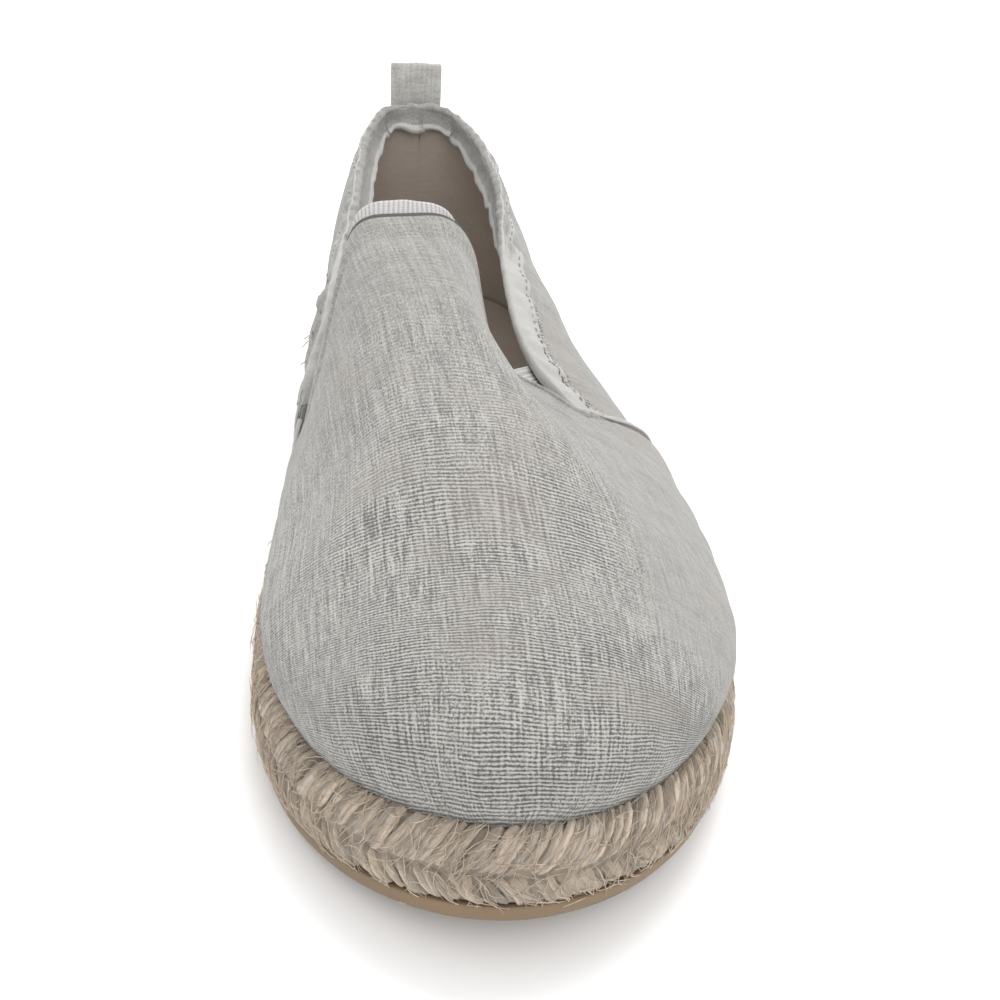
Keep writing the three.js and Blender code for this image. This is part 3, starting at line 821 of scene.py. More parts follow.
def finish(name, make):
    """A finish that several pieces share is made once."""
    if name not in FINISHES:
        FINISHES[name] = make()
    return FINISHES[name]


class Maker(bpy.types.Operator):
    """Base of the operators that make the pieces"""

    bl_options = {"REGISTER", "UNDO"}


# ---------------------------------------------------------------------------------------------
# Sole
# ---------------------------------------------------------------------------------------------
def sole_slab(rings, stations, across, bottom=None, top=None):
    """A slab of the sole's outline: rings of (inset, height) from the bottom up, closed by a grid
    below and above. "bottom" and "top" give the relief of those grids in millimetres."""
    around = np.linspace(0, 2, 2 * stations + 1)[:-1]
    count = len(around)
    points = np.concatenate([outline(around, inset, height) for inset, height in rings])
    faces = [quads(len(rings), count, True)]
    triangles = []
    i = np.arange(1, stations)
    share = (np.arange(1, across) / across)[None, :, None]
    for base, relief, up in ((0, bottom, False), ((len(rings) - 1) * count, top, True)):
        left, right = points[base + i][:, None], points[base + count - i][:, None]
        grid = left + (right - left) * share
        if relief is not None:
            grid[..., 2] += relief(grid[..., 0], grid[..., 1])
        index = len(points) + np.arange(grid.shape[0] * grid.shape[1]).reshape(grid.shape[:2])
        points = np.concatenate([points, grid.reshape(-1, 3)])
        index = np.concatenate([(base + i)[:, None], index, (base + count - i)[:, None]], 1)
        inner = stack(index[:-1, :-1], index[:-1, 1:], index[1:, 1:], index[1:, :-1])
        front = stack(base, index[0, 1:], index[0, :-1])
        back = stack(base + stations, index[-1, :-1], index[-1, 1:])
        inner = inner.reshape(-1, 4)
        faces.append(inner[:, ::-1] if up else inner)
        triangles += [front[:, ::-1], back[:, ::-1]] if up else [front, back]
    return points, np.concatenate(faces).tolist() + np.concatenate(triangles).tolist()


# The edges of the soles from the bottom up: how far in from the outline, and how high.
RUBBER_EDGE = [(5.4, 0), (4.5, 0.12), (3.3, 0.55), (2.4, 1.15), (1.8, 2.0), (1.45, 3.0),
               (1.3, 3.9), (1.3, 4.55), (1.6, 4.95), (2.6, 5.05)]
CORE_EDGE = [(2.6, 5.2), (1.7, 7.2), (1.3, 9.5), (1.7, 12), (1.3, 15), (2.2, 18), (3.8, 20.2),
             (6, 20.9)]
INSOLE_EDGE = [(0.6, 0), (0, 0.6), (-0.1, 2.0), (0.3, 2.8), (1.2, 3.05)]  # from its own outline
TREAD = {"margin": 9.0, "deep": 1.1, "wave": 2.2, "wave_long": 17.0, "bare": (136.0, 216.0)}


class ESPADRILLE_OT_outsole(Maker):
    """Rubber outsole with a wavy tread"""

    bl_idname = "espadrille.outsole"
    bl_label = "Outsole"

    def execute(self, context):
        sizes, colours, _ = settings()

        def tread(x, y):
            inside = width_at(x, y, 0, axis_x(y)) - np.abs(x - axis_x(y))
            ends = np.minimum(y, LENGTH - y)
            field = smooth((np.minimum(inside, ends) - TREAD["margin"]) / 1.5)
            first, last = TREAD["bare"]
            arch = 1 - smooth((y - first) / 4) * smooth((last - y) / 4)
            wave = y + TREAD["wave"] * np.sin(x * (TAU / TREAD["wave_long"]))
            groove = smooth((np.cos(wave * (TAU / sizes.tread_pitch)) - 0.25) / 0.5)
            return TREAD["deep"] * groove * field * arch

        points, faces = sole_slab(RUBBER_EDGE, 420, 60, bottom=tread)
        material = finish("rubber", lambda: rubber_finish(colours))
        add_piece("rubber_outsole", points, faces, [material], ["outsole"])
        return {"FINISHED"}


# The face of the braid from the bottom up, and the distance walked up it.
BRAID = np.array([(2.2, 4.6), (1.5, 5.2), (0.5, 7.2), (0.1, 11), (0.4, 15), (1.2, 18.2),
                  (2.9, 20.6), (4.4, 21.5), (6.0, 21.9)])
BRAID_WALK = walked(BRAID)
GROOVE_WALK = 7.6  # the groove between the two rows of strands
BRAID_ROWS = ((0.2, 0.8), (BRAID_WALK[-1], 1.25))  # where each row ends, and how far it leans
BRAID_CORE = (10.0, 12.5)  # inset and height of the line that the face turns round
STRAND = 0.68  # radius of a strand


class Rim:
    """Places on the face of the braid: how far along the outline and how far up the face."""

    def __init__(self):
        self.around = np.linspace(0, 2, 4001)
        self.walk = walked(outline(self.around, 0.5, 10))
        self.length = self.walk[-1]

    def place(self, along, up, sunk):
        """Points sunk into the face by so many millimetres, and the way out of it there."""
        around = np.interp(np.mod(along, self.length), self.walk, self.around)
        inset, height = (np.interp(up, BRAID_WALK, BRAID[:, i]) for i in (0, 1))
        face = outline(around, inset, height + np.minimum(up, 0))
        out = direction(face - outline(around, *BRAID_CORE))
        return face - out * sunk[..., None], out


class ESPADRILLE_OT_jute_sole(Maker):
    """Braided jute: a core painted dark as the shade between the strands, two leaning rows of
    strands and loose hairs
    """

    bl_idname = "espadrille.jute_sole"
    bl_label = "Jute sole"

    def execute(self, context):
        sizes, colours, _ = settings()
        rim = Rim()
        draw = np.random.default_rng(11)
        # The core is painted dark (0.42 of the jute): painted shade where it shows between the
        # strands.
        dark = finish("jute core", lambda: jute_finish(colours, "jute_core", 0.42))
        yarn = finish("jute", lambda: jute_finish(colours, "natural_jute", 1.0))
        core, core_faces = sole_slab(CORE_EDGE, 160, 2)
        add_piece("jute_core", core, core_faces, [dark], ["jute_sole"],
                  lay=stack(core[:, 0], core[:, 1], core[:, 2] * 0.1))

        many, steps = int(rim.length / sizes.yarn_pitch), 8
        q = np.linspace(0, 1, steps)[None]
        parts = []
        for high, lean_share in BRAID_ROWS:
            start = np.arange(many) + draw.uniform(-0.32, 0.32, many)
            start = start[:, None] * (rim.length / many)
            lean = sizes.yarn_lean * lean_share * draw.uniform(0.75, 1.25, (many, 1))
            bend = draw.normal(0, 0.55, (many, 1)) * np.sin(np.pi * q)
            wobble = draw.normal(0, 0.16, (many, steps))
            along = start + lean * q**0.85 + bend + wobble
            tuck = draw.uniform(-0.7, 0.9, (many, 1))
            up = GROOVE_WALK + tuck + (high - GROOVE_WALK - tuck) * q
            up = up + draw.normal(0, 0.1, (many, steps))
            size = draw.uniform(0.78, 1.25, (many, 1)) * np.ones((1, steps))
            size = size * (0.62 + 0.38 * np.sin(np.pi * unit(q * 0.92 + 0.06)) ** 0.5)
            sunk = 0.45 + draw.uniform(-0.3, 0.45, (many, 1)) + 1.9 * (1 - q) ** 5 + 0.8 * q**8
            paths, out = rim.place(along, up, sunk)
            shade = draw.uniform(-1, 1, many) * 0.9
            wide = STRAND * size * sizes.yarn_pitch
            parts.append(tubes(paths, STRAND * size, wide, out, 7, shade, 0.45))
        add_threads("jute_braid", parts, yarn)

        many = sizes.stray_fibres
        q = np.linspace(-1, 1, 5)[None]
        length = draw.gamma(3.0, 0.7, (many, 1)) + 1.0
        up = draw.uniform(0, 1, (many, 1)) * BRAID_WALK[-1]
        lean = np.where(up < GROOVE_WALK, -0.9, 0.9) + draw.normal(0, 0.5, (many, 1))
        heading = stack(np.cos(lean), np.sin(lean))
        curl = draw.normal(0, 0.3, (many, 1)) * (q**2 - 0.5)
        sideways, upward = heading[..., 0], heading[..., 1]
        along = draw.uniform(0, rim.length, (many, 1)) + length * (sideways * q - upward * curl)
        rise = np.clip(up + length * (upward * q + sideways * curl), -2.6, BRAID_WALK[-1])
        lift = draw.gamma(1.3, 0.14, (many, 1))
        lift = lift * (0.4 + (q * draw.choice([-1, 1], (many, 1)) + 1) * 0.6)
        paths, out = rim.place(along, rise, -0.25 - np.minimum(lift, 1.6))
        thick = draw.uniform(0.055, 0.12, (many, 1))
        hairs = tubes(paths, thick, None, out, 3, draw.uniform(0.1, 1.6, many), 0.4)
        hair = finish("jute hair", lambda: jute_finish(colours, "loose_jute_hair", 1.25))
        add_threads("jute_hairs", [hairs], hair)
        return {"FINISHED"}


class ESPADRILLE_OT_insole(Maker):
    """Cloth-covered insole with a slightly raised rim"""

    bl_idname = "espadrille.insole"
    bl_label = "Insole"

    def execute(self, context):
        _, colours, _ = settings()
        inset = FEATHER + WALL + 2 * GAP
        low = SOLE_TOP + GAP
        rings = [(inset + step, low + up) for step, up in INSOLE_EDGE]

        def sock(x, y):
            inside = width_at(x, y, inset, axis_x(y)) - np.abs(x - axis_x(y))
            inside = np.minimum(inside, np.minimum(y, LENGTH - y) - inset)
            waves = 0.08 * ripple(stack(x, y), 24, 5)
            return -0.5 * smooth(inside / 14) + waves * smooth(inside / 8)

        points, faces = sole_slab(rings, 150, 34, top=sock)
        material = finish("lining", lambda: lining_finish(colours))
        add_piece("cloth_insole", points, faces, [material], ["insole"], lay=points)
        return {"FINISHED"}


# ---------------------------------------------------------------------------------------------
# Upper
# ---------------------------------------------------------------------------------------------
# Soft folds of the cloth, each along a line from one place to another: height and width in mm.
FOLDS = (
    ((9, 141, 56), (27, 122, 47), 1.5, 4.5),
    ((27, 122, 47), (44, 104, 33), 1.3, 5.5),
    ((18, 134, 50), (36, 124, 40), -1.7, 4.5),
    ((34, 132, 40), (45, 118, 33), 1.0, 4.0),
    ((40, 128, 38), (52, 112, 28), -0.6, 6.0),
    ((46, 134, 36), (53, 122, 27), 0.6, 3.5),
    ((-38, 138, 40), (-46, 112, 30), -0.8, 5.0),
    ((-33, 132, 52), (-42, 104, 38), 0.8, 5.5),
    ((50, 158, 38), (47, 186, 34), 0.9, 7.0),
    ((46, 162, 44), (41, 184, 52), -0.7, 5.0),
    ((-43, 152, 48), (-41, 184, 44), 0.9, 7.0),
    ((44, 190, 30), (38, 222, 36), -0.6, 7.0),
    ((-40, 192, 34), (-36, 226, 38), -0.6, 7.0),
    ((20, 96, 58), (34, 78, 46), -0.35, 6.0),
    ((-24, 60, 52), (-36, 42, 38), -0.35, 6.0),
)


def fold_relief(points):
    """How far all the folds together lift the cloth at these points."""
    total = np.zeros(points.shape[:-1])
    for start, end, height, width in FOLDS:
        start, end = np.array(start, float), np.array(end, float)
        span = end - start
        share = unit((points - start) @ span / (span @ span))
        gap = np.linalg.norm(points - start - share[..., None] * span, axis=-1)
        total += height * np.exp(-((gap / width) ** 2)) * (0.55 + 0.45 * np.sin(np.pi * share))
    return total


def distance_below(around, rise):
    """Millimetres down the rib from the top edge, roughly."""
    _, _, speed = upper_frame(around, np.ones(np.broadcast(around, rise).shape))
    return (1 - rise) * speed


def cloth_relief(around, rise, points):
    """How far the cloth stands out from its plain form."""
    foot = foot_of(around)
    down = distance_below(around, rise)
    quarter = past_notch(around, foot)
    lap = 0.75 * smooth(quarter / 0.9) * (1 - 0.7 * smooth((quarter - 6) / 16))
    welt = 0.55 * hump((quarter - 1.7) / 1.3) - 0.45 * hump((quarter - 3.3) / 0.9)
    welt = welt + 0.45 * hump((quarter - 4.8) / 1.3)
    gathered = smooth((quarter - 4) / 16) * np.exp(-down / 13) * smooth(down / 2.5)
    past_heel = np.where(is_lateral(around), foot, 2 * (LENGTH - FEATHER) - foot)
    place = stack(past_heel, down * 0.25)
    gathers = gathered * (0.85 * ripple(place, 11, 21) + 0.3 * ripple(place, 5.5, 22))
    throat = smooth(-quarter / 6)
    hem = 0.35 * throat * (1 - smooth((down - 4.8) / 1.3))
    edge_pull = -0.5 * throat * hump((down - 7.5) / 4)
    low = np.exp(-((points[..., 2] - sole_z(points[..., 1]) - SOLE_TOP) / 5.0))
    tucks = 0.22 * low * ripple(outline(around, 0, 0)[..., :2], 8.5, 31)
    slack = 0.38 * ripple(points, 34, 41) + 0.14 * ripple(points, 13, 42)
    return lap + welt + gathers + hem + edge_pull + tucks + slack + fold_relief(points)


# The tilt of the weft's planes, in degrees back from upright, along the crown of the vamp.
WEFT_TILT = table("y tilt", (5, 66), (20, 50), (40, 32), (70, 20), (100, 13), (170, 8))

# How strongly the weft lines show along the vamp.
WEFT_SHOWS = table(
    "y share", (5, 0.95), (15, 0.9), (30, 0.76), (60, 0.76), (83, 0.5), (98, 0.22), (115, 0.08),
    (130, 0.02),
)


def weft_place(y, z):
    """How far along the crown of the vamp the weft line through (y, z) crosses it."""
    y_line = np.linspace(FEATHER, 170, 400)
    profile = vamp_z(column(VAMP, "crown", y_line), y_line)
    steps = np.hypot(np.diff(y_line), np.diff(profile))
    steps = steps * (1.38 - 0.38 * smooth((y_line[1:] - 15) / 65))  # closer lines at the toe
    walk = np.concatenate([[0], np.cumsum(steps)])
    tilt = np.radians(column(WEFT_TILT, "tilt", y_line))
    low, high = np.full(y.shape, y_line[0]), np.full(y.shape, y_line[-1])
    for _ in range(22):
        middle = (low + high) / 2
        angle = np.interp(middle, y_line, tilt)
        above = z - np.interp(middle, y_line, profile)
        beyond = (y - middle) * np.cos(angle) + above * np.sin(angle) > 0
        low, high = np.where(beyond, middle, low), np.where(beyond, high, middle)
    angle = tilt[0]
    short = (y - y_line[0]) * np.cos(angle) + (z - profile[0]) * np.sin(angle)
    return np.interp(low, y_line, walk) + np.minimum(short, 0)


def cloth_line(around, rise, above=0.0):
    """A line on the cloth's relief, and the cloth's normals along it."""
    around, rise = np.broadcast_arrays(np.asarray(around, float), np.asarray(rise, float))
    face = upper_point(around, rise)
    normal, _, _ = upper_frame(around, rise)
    relief = cloth_relief(around, rise, face) * smooth(rise / 0.05)
    return face + normal * (relief + above)[..., None], normal


def on_cloth(around, down, above):
    """A point "down" millimetres below the top edge, "above" the relief of the cloth."""
    _, _, speed = upper_frame(around, np.ones(np.shape(around)))
    return cloth_line(around, 1 - down / speed, above)[0]


def cloth_lay(around, rise, points):
    """Where each point lies on the flat cloth, and how strongly the weft shows there."""
    x, y, z = np.moveaxis(points, -1, 0)
    crown = column(VAMP, "crown", y)
    drop = np.maximum(vamp_z(crown, y) - z, 0)
    u = (x - crown) + np.sign(x - crown) * 0.6 * drop
    v = weft_place(y + 0.1 * (x + 8) + 0.0035 * (x + 8) ** 2, z)
    foot = foot_of(around)
    quarter = past_notch(around, foot) > 0.3
    u = np.where(quarter, foot * 0.96 + 300, u)
    v = np.where(quarter, rise * 70.0 + 400, v)
    outer_side = smooth((x - 12) / 16) * smooth((y - 22) / 20)
    inner_side = smooth((-24 - x) / 14) * smooth((y - 18) / 20)
    zone = column(WEFT_SHOWS, "share", y) * (1 - 0.98 * outer_side) * (1 - 0.6 * inner_side)
    zone = np.where(quarter, 0.02, 0.03 + zone - 0.02 * outer_side)
    return stack(u, v, zone)


SEAM_STEPS = (-0.6, 0.2, 0.9, 1.8, 2.6, 3.5, 4.4, 5.4)  # extra ribs past each notch
FACE_RISES = np.concatenate(
    [[0, 0.035, 0.07, 0.1], np.linspace(0.13, 1, 140)[:-1], [0.997, 1]]
)
LINING_RISES = np.concatenate([np.linspace(1, 0.93, 5), np.linspace(0.9, 0.04, 34), [0.0]])
EDGE_TURNS = (35, 75, 115, 150)  # degrees round the top edge, from the face to the lining
EDGE_ROUND = 0.75
BAND_END = {"lateral": 66, "medial": 43}  # the ribs at the two ends of the throat band


class ESPADRILLE_OT_upper(Maker):
    """Vamp and quarters of slubby cloth, lined, as one hollow shell"""

    bl_idname = "espadrille.upper"
    bl_label = "Upper"

    def execute(self, context):
        sizes, colours, _ = settings()
        ribs = np.linspace(0, 2, 451)[:-1]
        seams = [around_of(side, NOTCH[side] + step) for side in NOTCH for step in SEAM_STEPS]
        around = np.sort(np.concatenate([ribs, seams]))
        a, r = np.meshgrid(around, FACE_RISES)
        face = upper_point(a, r)
        normal, _, _ = upper_frame(a, r)
        relief = cloth_relief(a, r, face)
        outer = face + normal * (relief * smooth(r / 0.05))[..., None]
        outer[0, :, 2] -= 0.6  # tucked in behind the jute
        lay = cloth_lay(a, r, face)

        _, edge_up, _ = upper_frame(around, np.ones(len(around)))
        roll = []
        for angle in EDGE_TURNS:
            turned = math.radians(angle)
            out = relief[-1] * (1 + math.cos(turned)) / 2 - (WALL / 2) * (1 - math.cos(turned))
            place = face[-1] + normal[-1] * out[:, None]
            roll.append(place + edge_up * EDGE_ROUND * math.sin(turned))

        a, r = np.meshgrid(around, LINING_RISES)
        face = upper_point(a, r)
        normal, _, _ = upper_frame(a, r)
        soft = cloth_relief(a, r, face) * smooth(r / 0.2) * 0.6
        inner = face + normal * (np.minimum(soft, 0.5) - WALL)[..., None]
        inner[-1] = outline(around, FEATHER + WALL, SOLE_TOP + GAP)
        along = np.where(a > 1, 2 * LENGTH - foot_of(a), foot_of(a))
        lining_lay = stack(along, r * 60, 0)

        rows = np.concatenate([outer, np.array(roll), inner])
        count, face_rows = len(around), len(FACE_RISES)
        rib, last = np.arange(count), (len(rows) - 1) * count
        beside = (rib + 1) % count
        underside = stack(last + rib, last + beside, beside, rib)
        faces = np.concatenate([quads(len(rows), count, True), underside])
        which = np.zeros(len(faces), int)
        which[(face_rows + len(EDGE_TURNS) + 3) * count :] = 1
        band_end = np.where(is_lateral(around), BAND_END["lateral"], BAND_END["medial"])
        # The hem's rows at the throat get the dark finish: painted shade for the gap between the
        # hem and the throat band.
        gap_shade_rows = range(face_rows - 2, face_rows + 3)
        for row in gap_shade_rows:
            which[row * count : (row + 1) * count] = np.where(foot_of(around) < band_end, 2, 0)
        lays = np.concatenate([lay, np.repeat(lay[-1:], len(EDGE_TURNS), 0), lining_lay])
        finishes = [
            finish("cloth", lambda: chambray_finish(colours, sizes)),
            finish("lining", lambda: lining_finish(colours)),
            finish("hem gap painted shade", lambda: thread_finish("hem_gap_painted_shade", colours.painted_gap_shade)),
        ]
        add_piece("cloth_upper", rows.reshape(-1, 3), faces, finishes, ["upper"],
                  lay=lays.reshape(-1, 3), which=which)
        return {"FINISHED"}


def even_along(first, last, spacing):
    """Places around the shoe at even distances along the top edge."""
    around = np.linspace(first, last, 1500)
    walk = walked(top_edge(around))
    count = int(walk[-1] / spacing)
    even = np.linspace(0, walk[-1], count)
    return np.interp(even, walk, around), even


# How far the tape reaches down outside and inside the top edge.
TAPE = {
    "lateral": table(
        "foot outside inside",
        (144, 6.2, 1.2), (152, 6.9, 1.6), (185, 7.1, 2.0), (205, 6.6, 3.2), (222, 5.2, 4.6),
        (250, 4.6, 5.2), (285, 4.4, 5.4),
    ),
    "medial": table(
        "foot outside inside",
        (142, 3.6, 2.6), (152, 4.4, 5.2), (180, 5.2, 6.4), (205, 5.2, 5.2), (240, 4.6, 5.2),
        (285, 4.4, 5.4),
    ),
}
TAPE_LIFT = 0.5  # the face of the tape above the cloth
# The tape's lines: shares of its reach outside, degrees over the edge, shares of its reach inside.
TAPE_OUTSIDE = (1.0, 0.985, 0.95, 0.88, 0.78, 0.66, 0.54, 0.42, 0.3, 0.18, 0.08)
TAPE_OVER = np.linspace(8, 172, 12)
TAPE_INSIDE = (0.03, 0.1, 0.18, 0.27, 0.36, 0.46, 0.55, 0.63, 0.71, 0.79, 0.87, 0.94, 1.0, 1.03)


class ESPADRILLE_OT_collar(Maker):
    """Binding of the collar: flat tape in front, gathered into two ridges round the heel"""

    bl_idname = "espadrille.collar"
    bl_label = "Collar tape"

    def execute(self, context):
        _, colours, _ = settings()
        first = float(around_of("lateral", NOTCH["lateral"] + 2.5))
        last = float(around_of("medial", NOTCH["medial"] + 2.5))
        around, walk = even_along(first, last, 0.62)
        foot = foot_of(around)
        outside = of_side(TAPE, "outside", around, foot)
        inside = of_side(TAPE, "inside", around, foot)
        flat_front = np.where(is_lateral(around), 1 - smooth((foot - 196) / 24), 0.0)
        pucker = 1 - 0.6 * flat_front
        line = stack(walk, 0)
        wave = ripple(line, 10.5, 51) * 0.6 + ripple(line, 5.2, 52) * 0.4
        other = ripple(line, 11.5, 53) * 0.6 + ripple(line, 5.8, 54) * 0.4

        lines = []
        for share in TAPE_OUTSIDE:
            lift = TAPE_LIFT * smooth((1 - share) / 0.05)
            lift += 0.16 * hump((share - 0.86) / 0.16) - 0.14 * hump((share - 0.72) / 0.1)
            lines.append(("out", share, lift, 0.25 * hump((share - 0.5) / 0.5)))
        lines += [("top", angle, 0, 0) for angle in TAPE_OVER]
        for share in TAPE_INSIDE:
            lift = 1.15 * hump((share - 0.84) / 0.25) - 0.35 * hump((share - 0.4) / 0.35)
            lines.append(("in", share, lift * (share < 1.02), 0.9 * smooth(share / 0.8)))
        front, back, lays = [], [], []
        grey_zone = 1 - flat_front
        edge_relief = cloth_relief(around, np.ones_like(around), top_edge(around))
        edge_out = 0.1 + 0.75 * TAPE_LIFT + edge_relief
        edge_in = WALL + 0.25
        middle, radius = (edge_in - edge_out) / 2, (edge_in + edge_out) / 2
        lean = grey_zone * (0.75 - 0.3 * smooth((foot - 250) / 25))
        flop = np.where(is_lateral(around), 0.0, smooth((202 - foot) / 24))
        lean = lean + (1.0 - lean) * flop
        for kind, place, lift, slack in lines:
            if kind == "out":
                crumple = 0.13 * ripple(stack(walk, outside * place), 5.5, 55)
                down = outside * place + 0.3 * wave * pucker * (place > 0.5)
                above = lift + crumple * (place < 0.97) + slack * wave * pucker * 0.6
                points = on_cloth(around, down, above)
                under = on_cloth(around, outside * min(place, 0.985), 0.04)
                white = 1 - 0.8 * grey_zone * hump((place - 0.3) / 0.6)
                white = white * (1 - 0.85 * flop * smooth((place - 0.4) / 0.2))
                along = outside * place
            elif kind == "top":
                cosine, sine = math.cos(math.radians(place)), math.sin(math.radians(place))
                bulge = (0.15 + (0.4 + 0.4 * grey_zone * (1 - flop)) * wave * pucker) * sine
                depth = middle - cosine * (radius + bulge)
                points = on_upper(around, -(0.85 + bulge) * sine, depth)
                low = middle - cosine * (radius - TAPE_LIFT + 0.1)
                under = on_upper(around, -0.78 * sine, low)
                white = 1 - grey_zone * (1 - flop) * (1 - 0.9 * hump((place - 36) / 36))
                along = -place / 90.0
            else:
                down = 0.8 * other * pucker * smooth((place - 0.4) / 0.6) * (1 - 0.5 * flop)
                down = inside * place * (1 - 0.6 * flop) + down
                ridge = 0.7 * other * hump((place - 0.84) / 0.3)
                ridge = lift + slack * pucker * (ridge + 0.35 * wave * hump((place - 0.4) / 0.4))
                depth = edge_in + inside * place * lean + ridge * (1 - 0.55 * flat_front)
                points = on_upper(around, np.maximum(down, 0.1), depth)
                low = np.maximum(depth - 0.9, WALL + 0.05)
                under = on_upper(around, inside * min(place, 1.0), low)
                white = 1 - grey_zone * (1 - flop) * (1 - smooth((place - 0.62) / 0.12))
                along = -3 - inside * place
            front.append(points)
            back.append(under)
            white = white * (1 - 0.15 * grey_zone * (1 - flop))
            lays.append(stack(walk, along, white))
        points, faces = shell(np.array(front), np.array(back))
        material = finish("tape", lambda: tape_finish(colours))
        add_piece("collar_tape", points, faces, [material], lay=both_faces(lays))
        return {"FINISHED"}


BAND_LEAN = np.array([0.1, 0.45, 0.9])  # the throat band stands up and leans to the heel
BAND_SPREAD = 0.9  # and leans out to the sides at its ends
BAND_TALL, BAND_TUCKED = 5.2, 4.0  # how far it shows above the edge, and goes on behind it
BAND_SHARES = (-1.0, -0.6, -0.2, 0.0, 0.1, 0.2, 0.4, 0.6, 0.8, 0.92, 1.0)


class ESPADRILLE_OT_throat_band(Maker):
    """Ribbed elastic band behind the throat"""

    bl_idname = "espadrille.throat_band"
    bl_label = "Throat band"

    def execute(self, context):
        sizes, colours, _ = settings()
        first = float(around_of("medial", BAND_END["medial"] + 3)) - 2
        last = float(around_of("lateral", BAND_END["lateral"] - 2))
        around, walk = even_along(first, last, 0.17)
        t = walk / walk[-1] * 2 - 1
        line = stack(walk, 0)
        tall = BAND_TALL * (1 - np.abs(t) ** np.where(t > 0, 3.2, 9.0)) ** 0.6 + 0.3
        tall = tall + 0.14 * ripple(line, 9, 61)
        rib = np.abs(np.sin(walk * (np.pi / sizes.rib_pitch) + 0.35 * ripple(line, 14, 62)))
        front, back, lays = [], [], []
        depth = WALL + UNDERLAY
        edge = on_upper(around, 0, depth)
        normal, up, _ = upper_frame(around, np.ones(around.shape))
        up = direction(up + BAND_LEAN + stack(BAND_SPREAD * t**3, 0, 0))
        normal = direction(normal - up * (normal * up).sum(-1, keepdims=True))
        for share in BAND_SHARES:
            lip = 0.25 * smooth((share - 0.85) / 0.1)
            relief = (0.34 * rib**0.8 - 0.1) * (1 - smooth((share - 0.86) / 0.1)) + lip
            wave = 0.12 * ripple(line, 11, 63) * max(share, 0)
            if share > 0:
                place = edge + up * (tall * share)[:, None]
                front.append(place + normal * (relief + wave)[:, None])
                back.append(place - normal * (ELASTIC - 0.2))
            else:
                front.append(on_upper(around, -BAND_TUCKED * share, depth - relief - wave))
                back.append(on_upper(around, -BAND_TUCKED * share, depth + ELASTIC - 0.2))
            # Painted shade: the colour darkens in the grooves between ribs, and painted shadow
            # darkens the foot of the band.
            shadow = 2.6 * (share < 0.25)  # the foot of the band lies in the dark
            lays.append(stack(walk, share * 5, rib - 0.5 - shadow))
        points, faces = shell(np.array(front), np.array(back))
        material = finish("elastic", lambda: elastic_finish(colours))
        add_piece("ribbed_throat_band", points, faces, [material], ["throat_band"],
                  lay=both_faces(lays))
        return {"FINISHED"}


# The ribs where each gusset's two sides start and end: on the vamp, and on the quarter.
GORES = {"lateral": ((139, 98), (149, 169)), "medial": ((137, 104), (147, 166))}


class ESPADRILLE_OT_gores(Maker):
    """Elastic gussets behind both notches"""

    bl_idname = "espadrille.gores"
    bl_label = "Gussets"

    def execute(self, context):
        _, colours, _ = settings()
        material = finish("elastic", lambda: elastic_finish(colours))
        for side, ribs in GORES.items():
            t = np.linspace(0, 1, 90)
            steps = 22
            sheets = []
            for layer in (0.0, ELASTIC):
                edge_rise = 0.97 - 0.25 * unit(1 - t / 0.2)
                deep = WALL + GORE_UNDERLAY + layer + 1.6 * unit(1 - t / 0.5)
                ends = []
                for low, high in ribs:
                    around = around_of(side, low + (high - low) * t)
                    pair = []
                    for rise in (edge_rise - 0.1, edge_rise):
                        normal, _, _ = upper_frame(around, rise)
                        pair.append(upper_point(around, rise) - normal * deep[:, None])
                    ends.append(pair)
                share = np.linspace(0, 1, steps)[:, None, None]
                across = ends[0][1] + (ends[1][1] - ends[0][1]) * share
                grid = np.concatenate([ends[0][0][None], across, ends[1][0][None]])
                grid = grid.transpose(1, 0, 2)
                sheets.append(grid if side == "lateral" else grid[:, ::-1])
            front, back = sheets
            inward = direction(back - front)
            walk = walked(front[:, steps // 2])
            rib = np.cos((walk[-1] - walk) * (TAU / 1.25))
            relief = 0.16 * rib + 0.35 * (walk > walk[-1] - 1.2)
            front = front - inward * relief[:, None, None]
            points, faces = shell(front, back)
            across_mm = np.arange(front.shape[1]) * 0.8
            # The third number follows the ribs: painted shade in the grooves, lighter on the
            # crests.
            lay = both_faces(stack(walk[:, None], across_mm, (rib * 0.4)[:, None]))
            add_piece(f"gusset_{side}", points, faces, [material], [f"gore_{side}"],
                      lay=lay)
        return {"FINISHED"}


def curve_through(stops, count):
    """A smooth curve through points, evenly spaced, by cubics between them."""
    stops = np.array(stops, float)
    walk = walked(stops)
    names = [f"c{i}" for i in range(stops.shape[1])]
    rows = {"walk": walk, **{name: stops[:, i] for i, name in enumerate(names)}}
    at = np.linspace(0, walk[-1], count)
    return stack(*[column(rows, name, at) for name in names]), at


# The loop's path from its outer foot over the top to its inner foot: towards the heel's back,
# and as a share of its height.
LOOP = [(-0.35, 0.28), (0, 0.5), (-0.35, 0.72), (-0.55, 0.88), (-0.15, 0.975), (0.55, 1),
        (1.35, 0.965), (1.6, 0.86), (1.35, 0.7), (1.05, 0.5), (0.75, 0.28)]


